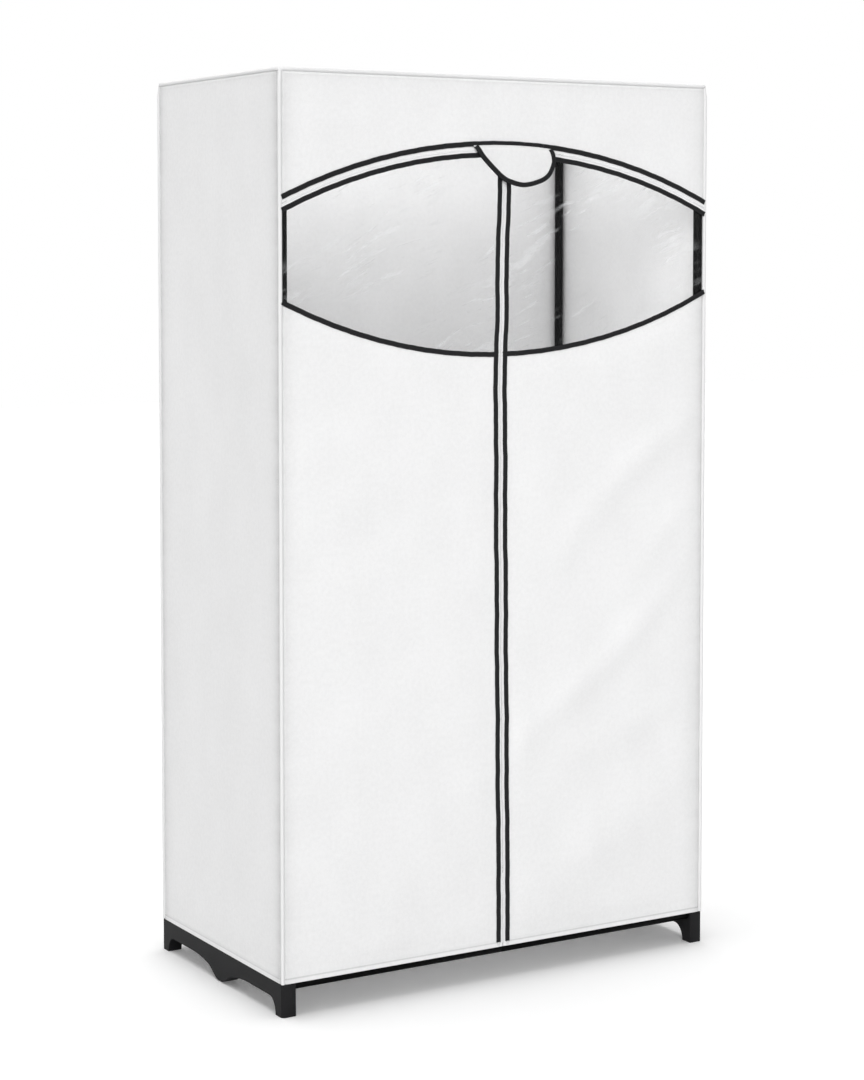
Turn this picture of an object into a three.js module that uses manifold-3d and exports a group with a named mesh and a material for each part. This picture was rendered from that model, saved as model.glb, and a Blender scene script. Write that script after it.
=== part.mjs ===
// Portable fabric wardrobe: a frame of steel tube on two moulded bases, dressed in a sewn cloth cover.
// The cover's front is an arched header over two zipped doors with clear windows.
// Millimetres, +Z up, front towards -Y, origin on the floor under the middle of the footprint.

import * as THREE from 'three';
import { mergeVertices } from 'three/addons/utils/BufferGeometryUtils.js';
import Module from 'manifold-3d';

const wasm = await Module();
wasm.setup();

// Overall size
const width = 902;
const depth = 488;
const height = 1626;

// Fits
const gap = 0.3;
const overrun = 5;

// Frame tube, and the swaged end that plugs into the next tube
const tubeDiameter = 16;
const tubeWall = 0.8;
const swageLength = 40;
const swageBlend = 3;
const postJointShare = 0.5;

// Corner connectors and rod tees
const sleeveWall = 1.6;
const socketDepth = 34;
const teeSleeveLength = 64;
const rodDrop = 24;

// Moulded bases
const baseHeight = 58;
const baseThickness = 27;
const baseChamfer = 4;
const footLength = 25;
const footReach = 48;
const footFlare = 1.2;
const archHeight = 29;
const pendantHalfLength = 104;
const pendantClearance = 1.5;
const pendantLengthShares = [0, 0.12, 0.2, 0.27, 0.41, 0.55, 0.69, 0.82, 1];
const pendantRiseShares = [0, 0.04, 0.18, 0.34, 0.65, 0.79, 0.89, 0.95, 1];
const towerHeight = 42;
const towerFloor = 24;
const railSpigotLength = 36;
const railShow = 13.8;

// Cloth cover
const clothThickness = 1.2;
const pipingRadius = 2.4;
const pipingProud = 0.6;
const hemHeight = 8;
const hemProud = 0.6;

// Arched opening, from the cover's top down to the windows
const headerDrop = 114;
const archFall = 99;
const bindingWidth = 9;
const bindingThickness = 1.2;
const zipBand = 11;
const windowHeight = 353;
const windowRise = 103;
const windowThickness = 0.5;

// Middle zip
const middleZipBand = 10;
const middleBindingWidth = 9;
const bindingLift = 9;
const coilStopHeight = 60;

// Zip coil, sliders and pulls
const coilSlot = 1.8;
const coilWidth = 2;
const coilProud = 0.8;
const sliderWidth = 8.4;
const sliderLength = 11;
const sliderNose = 5.2;
const sliderPlate = 1.3;
const neckLength = 4;
const crownWidth = 2.2;
const crownThickness = 1;
const crownPost = 1.4;
const crownLowPost = 2.6;
const crownHighPost = 2.8;
const pullThickness = 1;
const pullRingRadius = 3.3;
const pullHoleRadius = 1.7;
const pullWidth = 5.6;
const pullLength = 24;
const arcSliderOffset = 22;
const middleSliderDrop = 42;

// Flap that hangs over the meeting point of the zips
const flapLeft = 66;
const flapRight = 104;
const flapDrop = 76;
const flapSeam = 2;
const flapStandOff = 4;
const flapBindingWidth = 8.5;
const flapAcrossShares = [0, 0.09, 0.31, 0.46, 0.63, 0.83, 0.94, 1, 1, 0.97];
const flapFallShares = [0.04, 0.33, 0.79, 0.95, 1, 0.89, 0.72, 0.45, 0.26, 0];

// Counts
const tubeSides = 16;
const pipingSides = 10;
const archSteps = 18;
const footSteps = 8;
const pendantSteps = 14;
const flapSteps = 26;
const ringSteps = 14;

// Derived places
const halfWidth = width / 2;
const halfDepth = depth / 2;
const tubeRadius = tubeDiameter / 2;
const tubeBore = tubeRadius - tubeWall;
const swageRadius = tubeBore - gap;
const swageBore = swageRadius - tubeWall;
const sleeveBore = tubeRadius + gap;
const sleeveRadius = sleeveBore + sleeveWall;
const socketFloor = sleeveRadius + sleeveWall;
const armLength = socketFloor + socketDepth;

const sideOuter = halfWidth - pipingProud;
const sideInner = sideOuter - clothThickness;
const faceOuter = halfDepth - pipingProud;
const faceInner = faceOuter - clothThickness;
const topOuter = height - pipingProud;
const topInner = topOuter - clothThickness;
const postX = sideInner - gap - sleeveRadius;
const postY = faceInner - gap - sleeveRadius;
const railZ = topInner - gap - sleeveRadius;
const rodZ = railZ - rodDrop;
const hemZ = baseHeight + gap;
const lowRailZ = hemZ + tubeRadius - railShow;
const postJointZ = hemZ + (railZ - hemZ) * postJointShare;

const pipingX = halfWidth - pipingRadius;
const pipingY = halfDepth - pipingRadius;
const rimZ = height - pipingRadius;
const seamX = pipingX - pipingRadius - gap;
const seamY = pipingY - pipingRadius - gap;
const panelTop = rimZ - pipingRadius - gap;

const archTop = height - headerDrop;
const archRadius = arcRadius(seamX, archFall);
const archCentreZ = archTop - archRadius;
const headerRadius = archRadius - bindingWidth;
const zipRadius = headerRadius - zipBand / 2;
const doorRadius = headerRadius - zipBand;
const windowTopRadius = doorRadius - bindingWidth;
const windowBottom = archCentreZ + windowTopRadius - windowHeight;
const windowRadius = arcRadius(seamX, windowRise);
const windowCentreZ = windowBottom + windowRadius;

const faceFront = -faceOuter;
const faceBack = -faceInner;
const coilFront = faceFront - coilProud;
const bindingBack = faceFront - gap;
const bindingFront = bindingBack - bindingThickness;
const slotHalf = coilSlot / 2;
const middleHalf = middleZipBand / 2;
const plateBack = coilFront - gap;
const plateFront = plateBack - sliderPlate;
const pullBack = plateFront - gap;
const pullFront = pullBack - pullThickness;
const crownBack = pullFront - gap;
const crownFront = crownBack - crownThickness;
const flapRadius = headerRadius + flapSeam;
const flapLipBack = bindingFront - gap;
const flapBack = flapLipBack - flapStandOff;
const flapFront = flapBack - clothThickness;
const flapBindingBack = flapFront - gap;
const flapBindingFront = flapBindingBack - bindingThickness;
const arcSliderAngle = Math.asin(arcSliderOffset / zipRadius);
const middleSliderZ = archTop - middleSliderDrop;

// Finishes
const finishes = {
  blackTube: { color: 0x17171a, roughness: 0.35, metalness: 0.6 },
  blackMoulding: { color: 0x303032, roughness: 0.5, metalness: 0 },
  whiteCloth: { color: 0xf0f0f0, roughness: 0.9, metalness: 0 },
  blackTape: { color: 0x28282a, roughness: 0.8, metalness: 0 },
  zipTape: { color: 0xf4f4f5, roughness: 0.7, metalness: 0 },
  clearSheet: { color: 0xdfe4e6, roughness: 0.1, metalness: 0, transparent: true, opacity: 0.3 },
  zipMetal: { color: 0xc9cacc, roughness: 0.3, metalness: 0.9 },
};

// Radius of the arc that spans a half chord and falls by a given height
function arcRadius(halfSpan, rise) {
  return (halfSpan * halfSpan + rise * rise) / (2 * rise);
}

// Height of the opening's arch of one radius over x
function onArch(radius, x) {
  return archCentreZ + Math.sqrt(radius * radius - x * x);
}

// Height of the windows' lower edge, moved down by an offset, over x
function underWindow(offset, x) {
  const radius = windowRadius + offset;
  return windowCentreZ - Math.sqrt(radius * radius - x * x);
}

function point(across, up) {
  return new THREE.Vector2(across, up);
}

// Points along a curve z = height(x), from one x to another
function edge(from, to, steps, heightAt) {
  return Array.from({ length: steps + 1 }, (_, i) => {
    const x = from + (to - from) * (i / steps);
    return point(x, heightAt(x));
  });
}

// Points of a circle in the drawing plane
function ring(centre, radius, steps) {
  return Array.from({ length: steps }, (_, i) => {
    const angle = (2 * Math.PI * i) / steps;
    return point(centre.x + radius * Math.cos(angle), centre.y + radius * Math.sin(angle));
  });
}

function rectangle(left, right, low, high) {
  return [point(left, low), point(right, low), point(right, high), point(left, high)];
}

const axisX = new THREE.Vector3(1, 0, 0);
const axisY = new THREE.Vector3(0, 1, 0);
const axisZ = new THREE.Vector3(0, 0, 1);

// Drawing planes: (y, z) run along x, (x, z) run along y, and (x, y) run along z
const planes = {
  x: new THREE.Matrix4().makeBasis(axisY, axisZ, axisX),
  y: new THREE.Matrix4().makeBasis(axisX, axisZ, axisY.clone().negate()),
  z: new THREE.Matrix4(),
};

// Solid of a drawn outline, run along one axis from one place to another
function prism(outline, along, from, to, holes = []) {
  const shape = new THREE.Shape(outline);
  shape.holes = holes.map((hole) => new THREE.Path(hole));
  const geometry = new THREE.ExtrudeGeometry(shape, { depth: to - from, bevelEnabled: false });
  geometry.translate(0, 0, along === 'y' ? -to : from);
  return geometry.applyMatrix4(planes[along]);
}

// Turns a geometry made about the Y axis so that it runs along another axis
function turned(geometry, along) {
  if (along === 'x') geometry.rotateZ(-Math.PI / 2);
  if (along === 'z') geometry.rotateX(Math.PI / 2);
  return geometry;
}

// Round bar from a start point, reaching a signed length along one axis
function bar(radius, along, start, reach) {
  const geometry = new THREE.CylinderGeometry(radius, radius, Math.abs(reach), tubeSides);
  turned(geometry.translate(0, reach / 2, 0), along);
  return geometry.translate(start.x, start.y, start.z);
}

// Tube between two places on its axis, with a swaged plug past its low end (-1) or high end (1)
function tubeGeometry(from, to, plug) {
  const length = to - from;
  const plain = [
    point(tubeBore, 0),
    point(tubeRadius, 0),
    point(tubeRadius, length),
    point(tubeBore, length),
  ];
  const swaged = [
    point(tubeBore, 0),
    point(tubeRadius, 0),
    point(tubeRadius, length),
    point(swageRadius, length),
    point(swageRadius, length + swageLength),
    point(swageBore, length + swageLength),
    point(swageBore, length - swageBlend),
    point(tubeBore, length - 2 * swageBlend),
  ];
  const profile = plug === 0 ? plain : swaged;
  profile.push(profile[0].clone());
  return new THREE.LatheGeometry(profile, tubeSides);
}

function tube(name, along, from, to, plug, centre) {
  const geometry = tubeGeometry(from, to, plug);
  if (plug < 0) {
    geometry.rotateX(Math.PI);
    geometry.translate(0, to - from, 0);
  }
  turned(geometry.translate(0, from, 0), along);
  geometry.translate(centre.x, centre.y, centre.z);
  return part(name, geometry, finishes.blackTube);
}

// Solids for joining and cutting
function solidOf(geometry) {
  const bare = geometry.clone();
  bare.deleteAttribute('normal');
  bare.deleteAttribute('uv');
  const merged = mergeVertices(bare);
  const vertProperties = Float32Array.from(merged.attributes.position.array);
  const triVerts = Uint32Array.from(merged.index.array);
  return new wasm.Manifold(new wasm.Mesh({ numProp: 3, vertProperties, triVerts }));
}

function geometryOf(solid) {
  const mesh = solid.getMesh();
  const geometry = new THREE.BufferGeometry();
  geometry.setAttribute('position', new THREE.BufferAttribute(mesh.vertProperties, 3));
  geometry.setIndex(new THREE.BufferAttribute(mesh.triVerts, 1));
  geometry.computeVertexNormals();
  return geometry;
}

function joined(...geometries) {
  return geometryOf(geometries.map(solidOf).reduce((whole, next) => whole.add(next)));
}

function cutBy(geometry, ...tools) {
  return geometryOf(tools.map(solidOf).reduce((whole, tool) => whole.subtract(tool), solidOf(geometry)));
}

function common(first, second) {
  return geometryOf(solidOf(first).intersect(solidOf(second)));
}

function part(name, geometry, finish) {
  const mesh = new THREE.Mesh(geometry, new THREE.MeshStandardMaterial(finish));
  mesh.name = name;
  return mesh;
}

const sides = [
  { name: 'left', sign: -1 },
  { name: 'right', sign: 1 },
];
const ends = [
  { name: 'front', sign: -1 },
  { name: 'back', sign: 1 },
];

// Moulded bases

// Half of a base's lower edge, from the end of the foot to the middle of the pendant
function halfBaseEdge() {
  const footCurve = Array.from({ length: footSteps + 1 }, (_, i) => {
    const angle = (Math.PI / 2) * (i / footSteps);
    const inward = footReach - (footReach - footLength) * Math.cos(angle);
    return point(inward - halfDepth, archHeight * Math.sin(angle));
  });
  const pendantDrop = archHeight - pendantClearance;
  const pendantCurve = new THREE.SplineCurve(
    pendantLengthShares.map((share, i) => {
      return point(-share * pendantHalfLength, pendantClearance + pendantRiseShares[i] * pendantDrop);
    }),
  );
  return [point(-halfDepth, 0), ...footCurve, ...pendantCurve.getPoints(pendantSteps).reverse()];
}

function baseOutline() {
  const front = halfBaseEdge();
  const back = front.slice(0, -1).reverse().map((p) => point(-p.x, p.y));
  const topEnd = halfDepth - footFlare;
  return [...front, ...back, point(topEnd, baseHeight), point(-topEnd, baseHeight)];
}

// A base's outline seen from above, with its outer corners chamfered
function basePlan(side) {
  const inner = halfWidth - baseThickness;
  const shoulder = halfWidth - baseChamfer;
  const run = halfDepth - baseChamfer;
  return [
    point(side * inner, -halfDepth),
    point(side * shoulder, -halfDepth),
    point(side * halfWidth, -run),
    point(side * halfWidth, run),
    point(side * shoulder, halfDepth),
    point(side * inner, halfDepth),
  ];
}

function base(side) {
  const reach = [side.sign * halfWidth, side.sign * (halfWidth - baseThickness)];
  const profile = prism(baseOutline(), 'x', Math.min(...reach), Math.max(...reach));
  const plan = prism(basePlan(side.sign), 'z', -overrun, baseHeight + overrun);
  const additions = [];
  const bores = [];
  for (const end of ends) {
    const x = side.sign * postX;
    const y = end.sign * postY;
    const spigotReach = postX - (halfWidth - baseThickness) + railSpigotLength;
    const mid = new THREE.Vector3(x, y, baseHeight / 2);
    additions.push(bar(sleeveRadius, 'z', mid, baseHeight / 2 + towerHeight));
    additions.push(bar(swageRadius, 'x', new THREE.Vector3(x, y, lowRailZ), -side.sign * spigotReach));
    const floor = new THREE.Vector3(x, y, towerFloor);
    bores.push(bar(sleeveBore, 'z', floor, baseHeight + towerHeight - towerFloor + overrun));
  }
  const geometry = cutBy(joined(common(profile, plan), ...additions), ...bores);
  return part(`base_${side.name}`, geometry, finishes.blackMoulding);
}

// Corner connector: one socket down over the post, one inward for each rail
function cornerConnector(side, end) {
  const corner = new THREE.Vector3(side.sign * postX, end.sign * postY, railZ);
  const arms = [
    { along: 'x', sign: -side.sign },
    { along: 'y', sign: -end.sign },
    { along: 'z', sign: -1 },
  ];
  const ball = new THREE.SphereGeometry(sleeveRadius, tubeSides, tubeSides / 2);
  ball.translate(corner.x, corner.y, corner.z);
  const sleeves = arms.map((arm) => bar(sleeveRadius, arm.along, corner, arm.sign * armLength));
  const bores = arms.map((arm) => {
    const floor = corner.clone();
    floor[arm.along] += arm.sign * socketFloor;
    return bar(sleeveBore, arm.along, floor, arm.sign * (socketDepth + overrun));
  });
  const geometry = cutBy(joined(ball, ...sleeves), ...bores);
  return part(`corner_connector_${end.name}_${side.name}`, geometry, finishes.blackMoulding);
}

// Rod tee: a sleeve over the meeting ends of the side rail, with the rod's socket hung below it
function rodTee(side) {
  const x = side.sign * postX;
  const inward = -side.sign;
  const sleeveStart = new THREE.Vector3(x, -teeSleeveLength / 2, railZ);
  const sleeve = bar(sleeveRadius, 'y', sleeveStart, teeSleeveLength);
  const socketBack = new THREE.Vector3(x - inward * sleeveBore, 0, rodZ);
  const socket = bar(sleeveRadius, 'x', socketBack, inward * (sleeveBore + socketDepth + sleeveWall));
  const webSides = [x - sleeveBore, x + sleeveBore];
  const web = prism(rectangle(...webSides, rodZ, railZ), 'y', -sleeveBore, sleeveBore);
  const railStart = new THREE.Vector3(x, -teeSleeveLength / 2 - overrun, railZ);
  const railBore = bar(sleeveBore, 'y', railStart, teeSleeveLength + 2 * overrun);
  const rodStart = new THREE.Vector3(x + inward * sleeveWall, 0, rodZ);
  const rodBore = bar(sleeveBore, 'x', rodStart, inward * (socketDepth + overrun));
  const geometry = cutBy(joined(sleeve, socket, web), railBore, rodBore);
  return part(`rod_tee_${side.name}`, geometry, finishes.blackMoulding);
}

// Tubes

function posts(side, end) {
  const centre = new THREE.Vector3(side.sign * postX, end.sign * postY, 0);
  const place = `${end.name}_${side.name}`;
  const top = railZ - socketFloor - gap;
  return [
    tube(`post_lower_${place}`, 'z', towerFloor + gap, postJointZ, 1, centre),
    tube(`post_upper_${place}`, 'z', postJointZ + gap, top, 0, centre),
  ];
}

// Two half tubes across the width, plugged together in the middle
function crossTubes(name, reach, y, z) {
  const centre = new THREE.Vector3(0, y, z);
  return [
    tube(`${name}_left`, 'x', -reach, -gap / 2, 0, centre),
    tube(`${name}_right`, 'x', gap / 2, reach, -1, centre),
  ];
}

function sideRails(side) {
  const centre = new THREE.Vector3(side.sign * postX, 0, railZ);
  const reach = postY - socketFloor - gap;
  return [
    tube(`side_rail_${side.name}_front`, 'y', -reach, -gap / 2, 0, centre),
    tube(`side_rail_${side.name}_back`, 'y', gap / 2, reach, 0, centre),
  ];
}

function frameTubes() {
  const topReach = postX - socketFloor - gap;
  const lowReach = halfWidth - baseThickness - gap;
  const rodReach = postX - sleeveWall - gap;
  return [
    ...ends.flatMap((end) => sides.flatMap((side) => posts(side, end))),
    ...ends.flatMap((end) => crossTubes(`top_rail_${end.name}`, topReach, end.sign * postY, railZ)),
    ...ends.flatMap((end) => crossTubes(`bottom_rail_${end.name}`, lowReach, end.sign * postY, lowRailZ)),
    ...sides.flatMap(sideRails),
    ...crossTubes('hanging_rod', rodReach, 0, rodZ),
  ];
}

// Cloth cover

// Section of a hanging panel from its thickened hem to its top, drawn across and up
function hemmedSection(sign, inner, outer) {
  const proud = outer + hemProud;
  return [
    point(sign * inner, hemZ),
    point(sign * proud, hemZ),
    point(sign * proud, hemZ + hemHeight),
    point(sign * outer, hemZ + hemHeight),
    point(sign * outer, panelTop),
    point(sign * inner, panelTop),
  ];
}

function backPanel() {
  const section = hemmedSection(1, faceInner, faceOuter);
  return part('cover_back_panel', prism(section, 'x', -seamX, seamX), finishes.whiteCloth);
}

function sidePanel(side) {
  const section = hemmedSection(side.sign, sideInner, sideOuter);
  return part(`cover_${side.name}_panel`, prism(section, 'y', -seamY, seamY), finishes.whiteCloth);
}

// Bead of piping from a start point along one axis
function bead(along, start, reach) {
  const geometry = new THREE.CylinderGeometry(pipingRadius, pipingRadius, Math.abs(reach), pipingSides);
  turned(geometry.translate(0, reach / 2, 0), along);
  return geometry.translate(start.x, start.y, start.z);
}

function topPanel() {
  const sheet = prism(rectangle(-pipingX, pipingX, -pipingY, pipingY), 'z', topInner, topOuter);
  const beads = [];
  for (const side of sides) {
    beads.push(bead('y', new THREE.Vector3(side.sign * pipingX, -pipingY, rimZ), 2 * pipingY));
  }
  for (const end of ends) {
    beads.push(bead('x', new THREE.Vector3(-pipingX, end.sign * pipingY, rimZ), 2 * pipingX));
    for (const side of sides) {
      const knot = new THREE.SphereGeometry(pipingRadius, pipingSides, pipingSides / 2);
      beads.push(knot.translate(side.sign * pipingX, end.sign * pipingY, rimZ));
    }
  }
  return part('cover_top_panel', joined(sheet, ...beads), finishes.whiteCloth);
}

function cornerPiping(side, end) {
  const foot = new THREE.Vector3(side.sign * pipingX, end.sign * pipingY, hemZ);
  return part(`piping_${end.name}_${side.name}`, bead('z', foot, panelTop - hemZ), finishes.whiteCloth);
}

function header() {
  const outline = [
    ...edge(-seamX, seamX, 2 * archSteps, (x) => onArch(headerRadius, x)),
    point(seamX, panelTop),
    point(-seamX, panelTop),
  ];
  return part('cover_header', prism(outline, 'y', faceFront, faceBack), finishes.whiteCloth);
}

// Outline between two radii of the arch, from one x to another
function archBand(from, to, steps, low, high) {
  const lower = edge(from, to, steps, (x) => onArch(low, x));
  const upper = edge(to, from, steps, (x) => onArch(high, x));
  return [...lower, ...upper];
}

function headerBinding() {
  const outline = archBand(-seamX, seamX, 2 * archSteps, headerRadius, archRadius);
  return part('header_binding', prism(outline, 'y', bindingFront, bindingBack), finishes.blackTape);
}

// Doors

function doorPanel(side) {
  const inner = side.sign * (middleHalf + gap);
  const outer = side.sign * seamX;
  const outline = [
    point(inner, hemZ),
    point(outer, hemZ),
    ...edge(outer, inner, archSteps, (x) => underWindow(gap, x)),
  ];
  const sheet = prism(outline, 'y', faceFront, faceBack);
  const hem = prism(rectangle(inner, outer, hemZ, hemZ + hemHeight), 'y', faceFront - hemProud, faceBack);
  return part(`door_${side.name}_panel`, joined(sheet, hem), finishes.whiteCloth);
}

function doorWindow(side) {
  const inner = side.sign * (middleHalf + gap);
  const outer = side.sign * seamX;
  const outline = [
    ...edge(inner, outer, archSteps, (x) => underWindow(0, x)),
    ...edge(outer, inner, archSteps, (x) => onArch(doorRadius, x)),
  ];
  const back = faceBack - (clothThickness - windowThickness) / 2;
  const sheet = prism(outline, 'y', back - windowThickness, back);
  return part(`door_${side.name}_window`, sheet, finishes.clearSheet);
}

// Black binding of one door: up the zip, out over the window, and out under it
function doorBinding(side) {
  const inner = side.sign * middleHalf;
  const strip = side.sign * (middleHalf + middleBindingWidth);
  const outer = side.sign * seamX;
  const foot = hemZ + bindingLift;
  const outline = [
    point(inner, foot),
    ...edge(inner, outer, archSteps, (x) => onArch(doorRadius, x)),
    ...edge(outer, strip, archSteps, (x) => onArch(windowTopRadius, x)),
    ...edge(strip, outer, archSteps, (x) => underWindow(0, x)),
    ...edge(outer, strip, archSteps, (x) => underWindow(bindingWidth, x)),
    point(strip, foot),
  ];
  const geometry = prism(outline, 'y', bindingFront, bindingBack);
  return part(`door_${side.name}_binding`, geometry, finishes.blackTape);
}

// Zip tapes: a flat tape with a raised coil along the slot

function middleTape(side) {
  const inner = side.sign * slotHalf;
  const outer = side.sign * middleHalf;
  const coilEdge = side.sign * (slotHalf + coilWidth);
  const top = onArch(doorRadius, middleHalf) - gap;
  const tape = prism(rectangle(inner, outer, hemZ, top), 'y', faceFront, faceBack);
  const coilFoot = hemZ + coilStopHeight;
  const coil = prism(rectangle(inner, coilEdge, coilFoot, top), 'y', coilFront, faceBack);
  return part(`middle_zip_${side.name}_tape`, joined(tape, coil), finishes.zipTape);
}

function arcTape(name, side, tapeRadii, coilRadii) {
  const inner = side.sign * slotHalf;
  const outer = side.sign * seamX;
  const tape = prism(archBand(inner, outer, archSteps, ...tapeRadii), 'y', faceFront, faceBack);
  const coil = prism(archBand(inner, outer, archSteps, ...coilRadii), 'y', coilFront, faceBack);
  return part(name, joined(tape, coil), finishes.zipTape);
}

function headerTape(side) {
  const slot = zipRadius + slotHalf;
  const name = `arc_zip_${side.name}_header_tape`;
  return arcTape(name, side, [slot, headerRadius - gap], [slot, slot + coilWidth]);
}

function doorTape(side) {
  const slot = zipRadius - slotHalf;
  const name = `arc_zip_${side.name}_door_tape`;
  return arcTape(name, side, [doorRadius + gap, slot], [slot - coilWidth, slot]);
}

// Slider, drawn with the zip running up through its own origin
function sliderGeometry() {
  const half = sliderWidth / 2;
  const nose = sliderNose / 2;
  const reach = sliderLength / 2;
  const plate = [
    point(-nose, -reach),
    point(nose, -reach),
    point(half, 0),
    point(half, reach - nose),
    point(nose, reach),
    point(-nose, reach),
    point(-half, reach - nose),
    point(-half, 0),
  ];
  const backPlateFront = faceBack + gap;
  const neckHalf = slotHalf - gap;
  const neckOutline = rectangle(-neckHalf, neckHalf, reach - neckLength, reach);
  const postHalf = crownPost / 2;
  const crownHalf = crownWidth / 2;
  const crownLow = -crownLowPost - postHalf;
  const crownHigh = crownHighPost + postHalf;
  const post = (low) => rectangle(-crownHalf, crownHalf, low, low + crownPost);
  return joined(
    prism(plate, 'y', plateFront, plateBack),
    prism(plate, 'y', backPlateFront, backPlateFront + sliderPlate),
    prism(neckOutline, 'y', plateBack - gap, backPlateFront + gap),
    prism(post(crownLow), 'y', crownFront, plateBack - gap),
    prism(post(crownHigh - crownPost), 'y', crownFront, plateBack - gap),
    prism(rectangle(-crownHalf, crownHalf, crownLow, crownHigh), 'y', crownFront, crownBack),
  );
}

// Pull tab, hung by its ring from its own origin
function pullGeometry() {
  const centre = point(0, 0);
  const half = pullWidth / 2;
  const foot = pullRingRadius - pullLength;
  const tab = [
    point(-half, 0),
    point(-half, foot + half),
    point(-half / 2, foot),
    point(half / 2, foot),
    point(half, foot + half),
    point(half, 0),
  ];
  const eye = prism(ring(centre, pullRingRadius, ringSteps), 'y', pullFront, pullBack);
  const hole = ring(centre, pullHoleRadius, ringSteps);
  const holeCut = prism(hole, 'y', pullFront - overrun, pullBack + overrun);
  return cutBy(joined(prism(tab, 'y', pullFront, pullBack), eye), holeCut);
}

function middleSlider() {
  const slider = part('middle_slider', sliderGeometry(), finishes.zipMetal);
  slider.position.z = middleSliderZ;
  const pull = part('middle_pull', pullGeometry(), finishes.zipMetal);
  pull.position.z = middleSliderZ - crownLowPost;
  return [slider, pull];
}

// Slider of one arc zip, parked beside the middle, and its pull hanging from the outer crown post
function arcSlider(side) {
  const angle = side.sign * arcSliderAngle;
  const carrier = new THREE.Group();
  carrier.position.z = archCentreZ;
  carrier.rotation.y = angle;
  const slider = part(`arc_slider_${side.name}`, sliderGeometry(), finishes.zipMetal);
  slider.position.z = zipRadius;
  slider.rotation.y = (-side.sign * Math.PI) / 2;
  carrier.add(slider);
  const pull = part(`arc_pull_${side.name}`, pullGeometry(), finishes.zipMetal);
  pull.position.x = zipRadius * Math.sin(angle) + side.sign * crownLowPost * Math.cos(angle);
  pull.position.z = archCentreZ + zipRadius * Math.cos(angle) - crownLowPost * Math.sin(arcSliderAngle);
  return [carrier, pull];
}

// Flap over the meeting point of the zips

function flapCurve() {
  const span = flapLeft + flapRight;
  const seat = onArch(flapRadius, 0);
  return new THREE.SplineCurve(
    flapAcrossShares.map((share, i) => {
      return point(share * span - flapLeft, seat - flapFallShares[i] * flapDrop);
    }),
  );
}

function flapOutline() {
  const free = flapCurve().getSpacedPoints(flapSteps);
  const first = free[0];
  const last = free[free.length - 1];
  first.y = onArch(flapRadius, first.x);
  last.y = onArch(flapRadius, last.x);
  const seam = edge(last.x, first.x, archSteps, (x) => onArch(flapRadius, x));
  return [...free, ...seam.slice(1, -1)];
}

function flapPanel() {
  const sheet = prism(flapOutline(), 'y', flapFront, flapBack);
  const lipStart = hemHeight - flapLeft;
  const lipEnd = flapRight - hemHeight;
  const lipOutline = archBand(lipStart, lipEnd, archSteps, headerRadius, flapRadius);
  const lip = prism(lipOutline, 'y', flapFront, flapLipBack);
  return part('flap_panel', joined(sheet, lip), finishes.whiteCloth);
}

function flapBinding() {
  const curve = flapCurve();
  const outer = [];
  const inner = [];
  for (let i = 0; i <= flapSteps; i += 1) {
    const place = curve.getPointAt(i / flapSteps);
    const run = curve.getTangentAt(i / flapSteps);
    outer.push(point(place.x + run.y * overrun, place.y - run.x * overrun));
    inner.push(point(place.x - run.y * flapBindingWidth, place.y + run.x * flapBindingWidth));
  }
  const band = prism([...outer, ...inner.reverse()], 'y', flapBindingFront, flapBindingBack);
  const limit = prism(flapOutline(), 'y', flapBindingFront - overrun, flapBindingBack + overrun);
  return part('flap_binding', common(band, limit), finishes.blackTape);
}

const wardrobe = new THREE.Group();
wardrobe.add(
  ...sides.map(base),
  ...ends.flatMap((end) => sides.map((side) => cornerConnector(side, end))),
  ...sides.map(rodTee),
  ...frameTubes(),
  backPanel(),
  ...sides.map(sidePanel),
  topPanel(),
  ...ends.flatMap((end) => sides.map((side) => cornerPiping(side, end))),
  header(),
  headerBinding(),
  ...sides.flatMap((side) => [doorPanel(side), doorWindow(side), doorBinding(side)]),
  ...sides.flatMap((side) => [middleTape(side), headerTape(side), doorTape(side)]),
  ...middleSlider(),
  ...sides.flatMap(arcSlider),
  flapPanel(),
  flapBinding(),
);

export default wardrobe;
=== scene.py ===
"""Portable fabric wardrobe: a tube frame on two moulded bases, dressed in a white sewn cover.

The cover's front is an arched header over two zipped doors with clear windows. Lengths are in metres, +Z is
up and the front faces -Y. Faces and corners come from the frame, and the arches from the sizes in Layout.
"""

import logging
import math
from collections.abc import Callable, Sequence
from dataclasses import dataclass, field
from enum import Enum
from typing import Any

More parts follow.
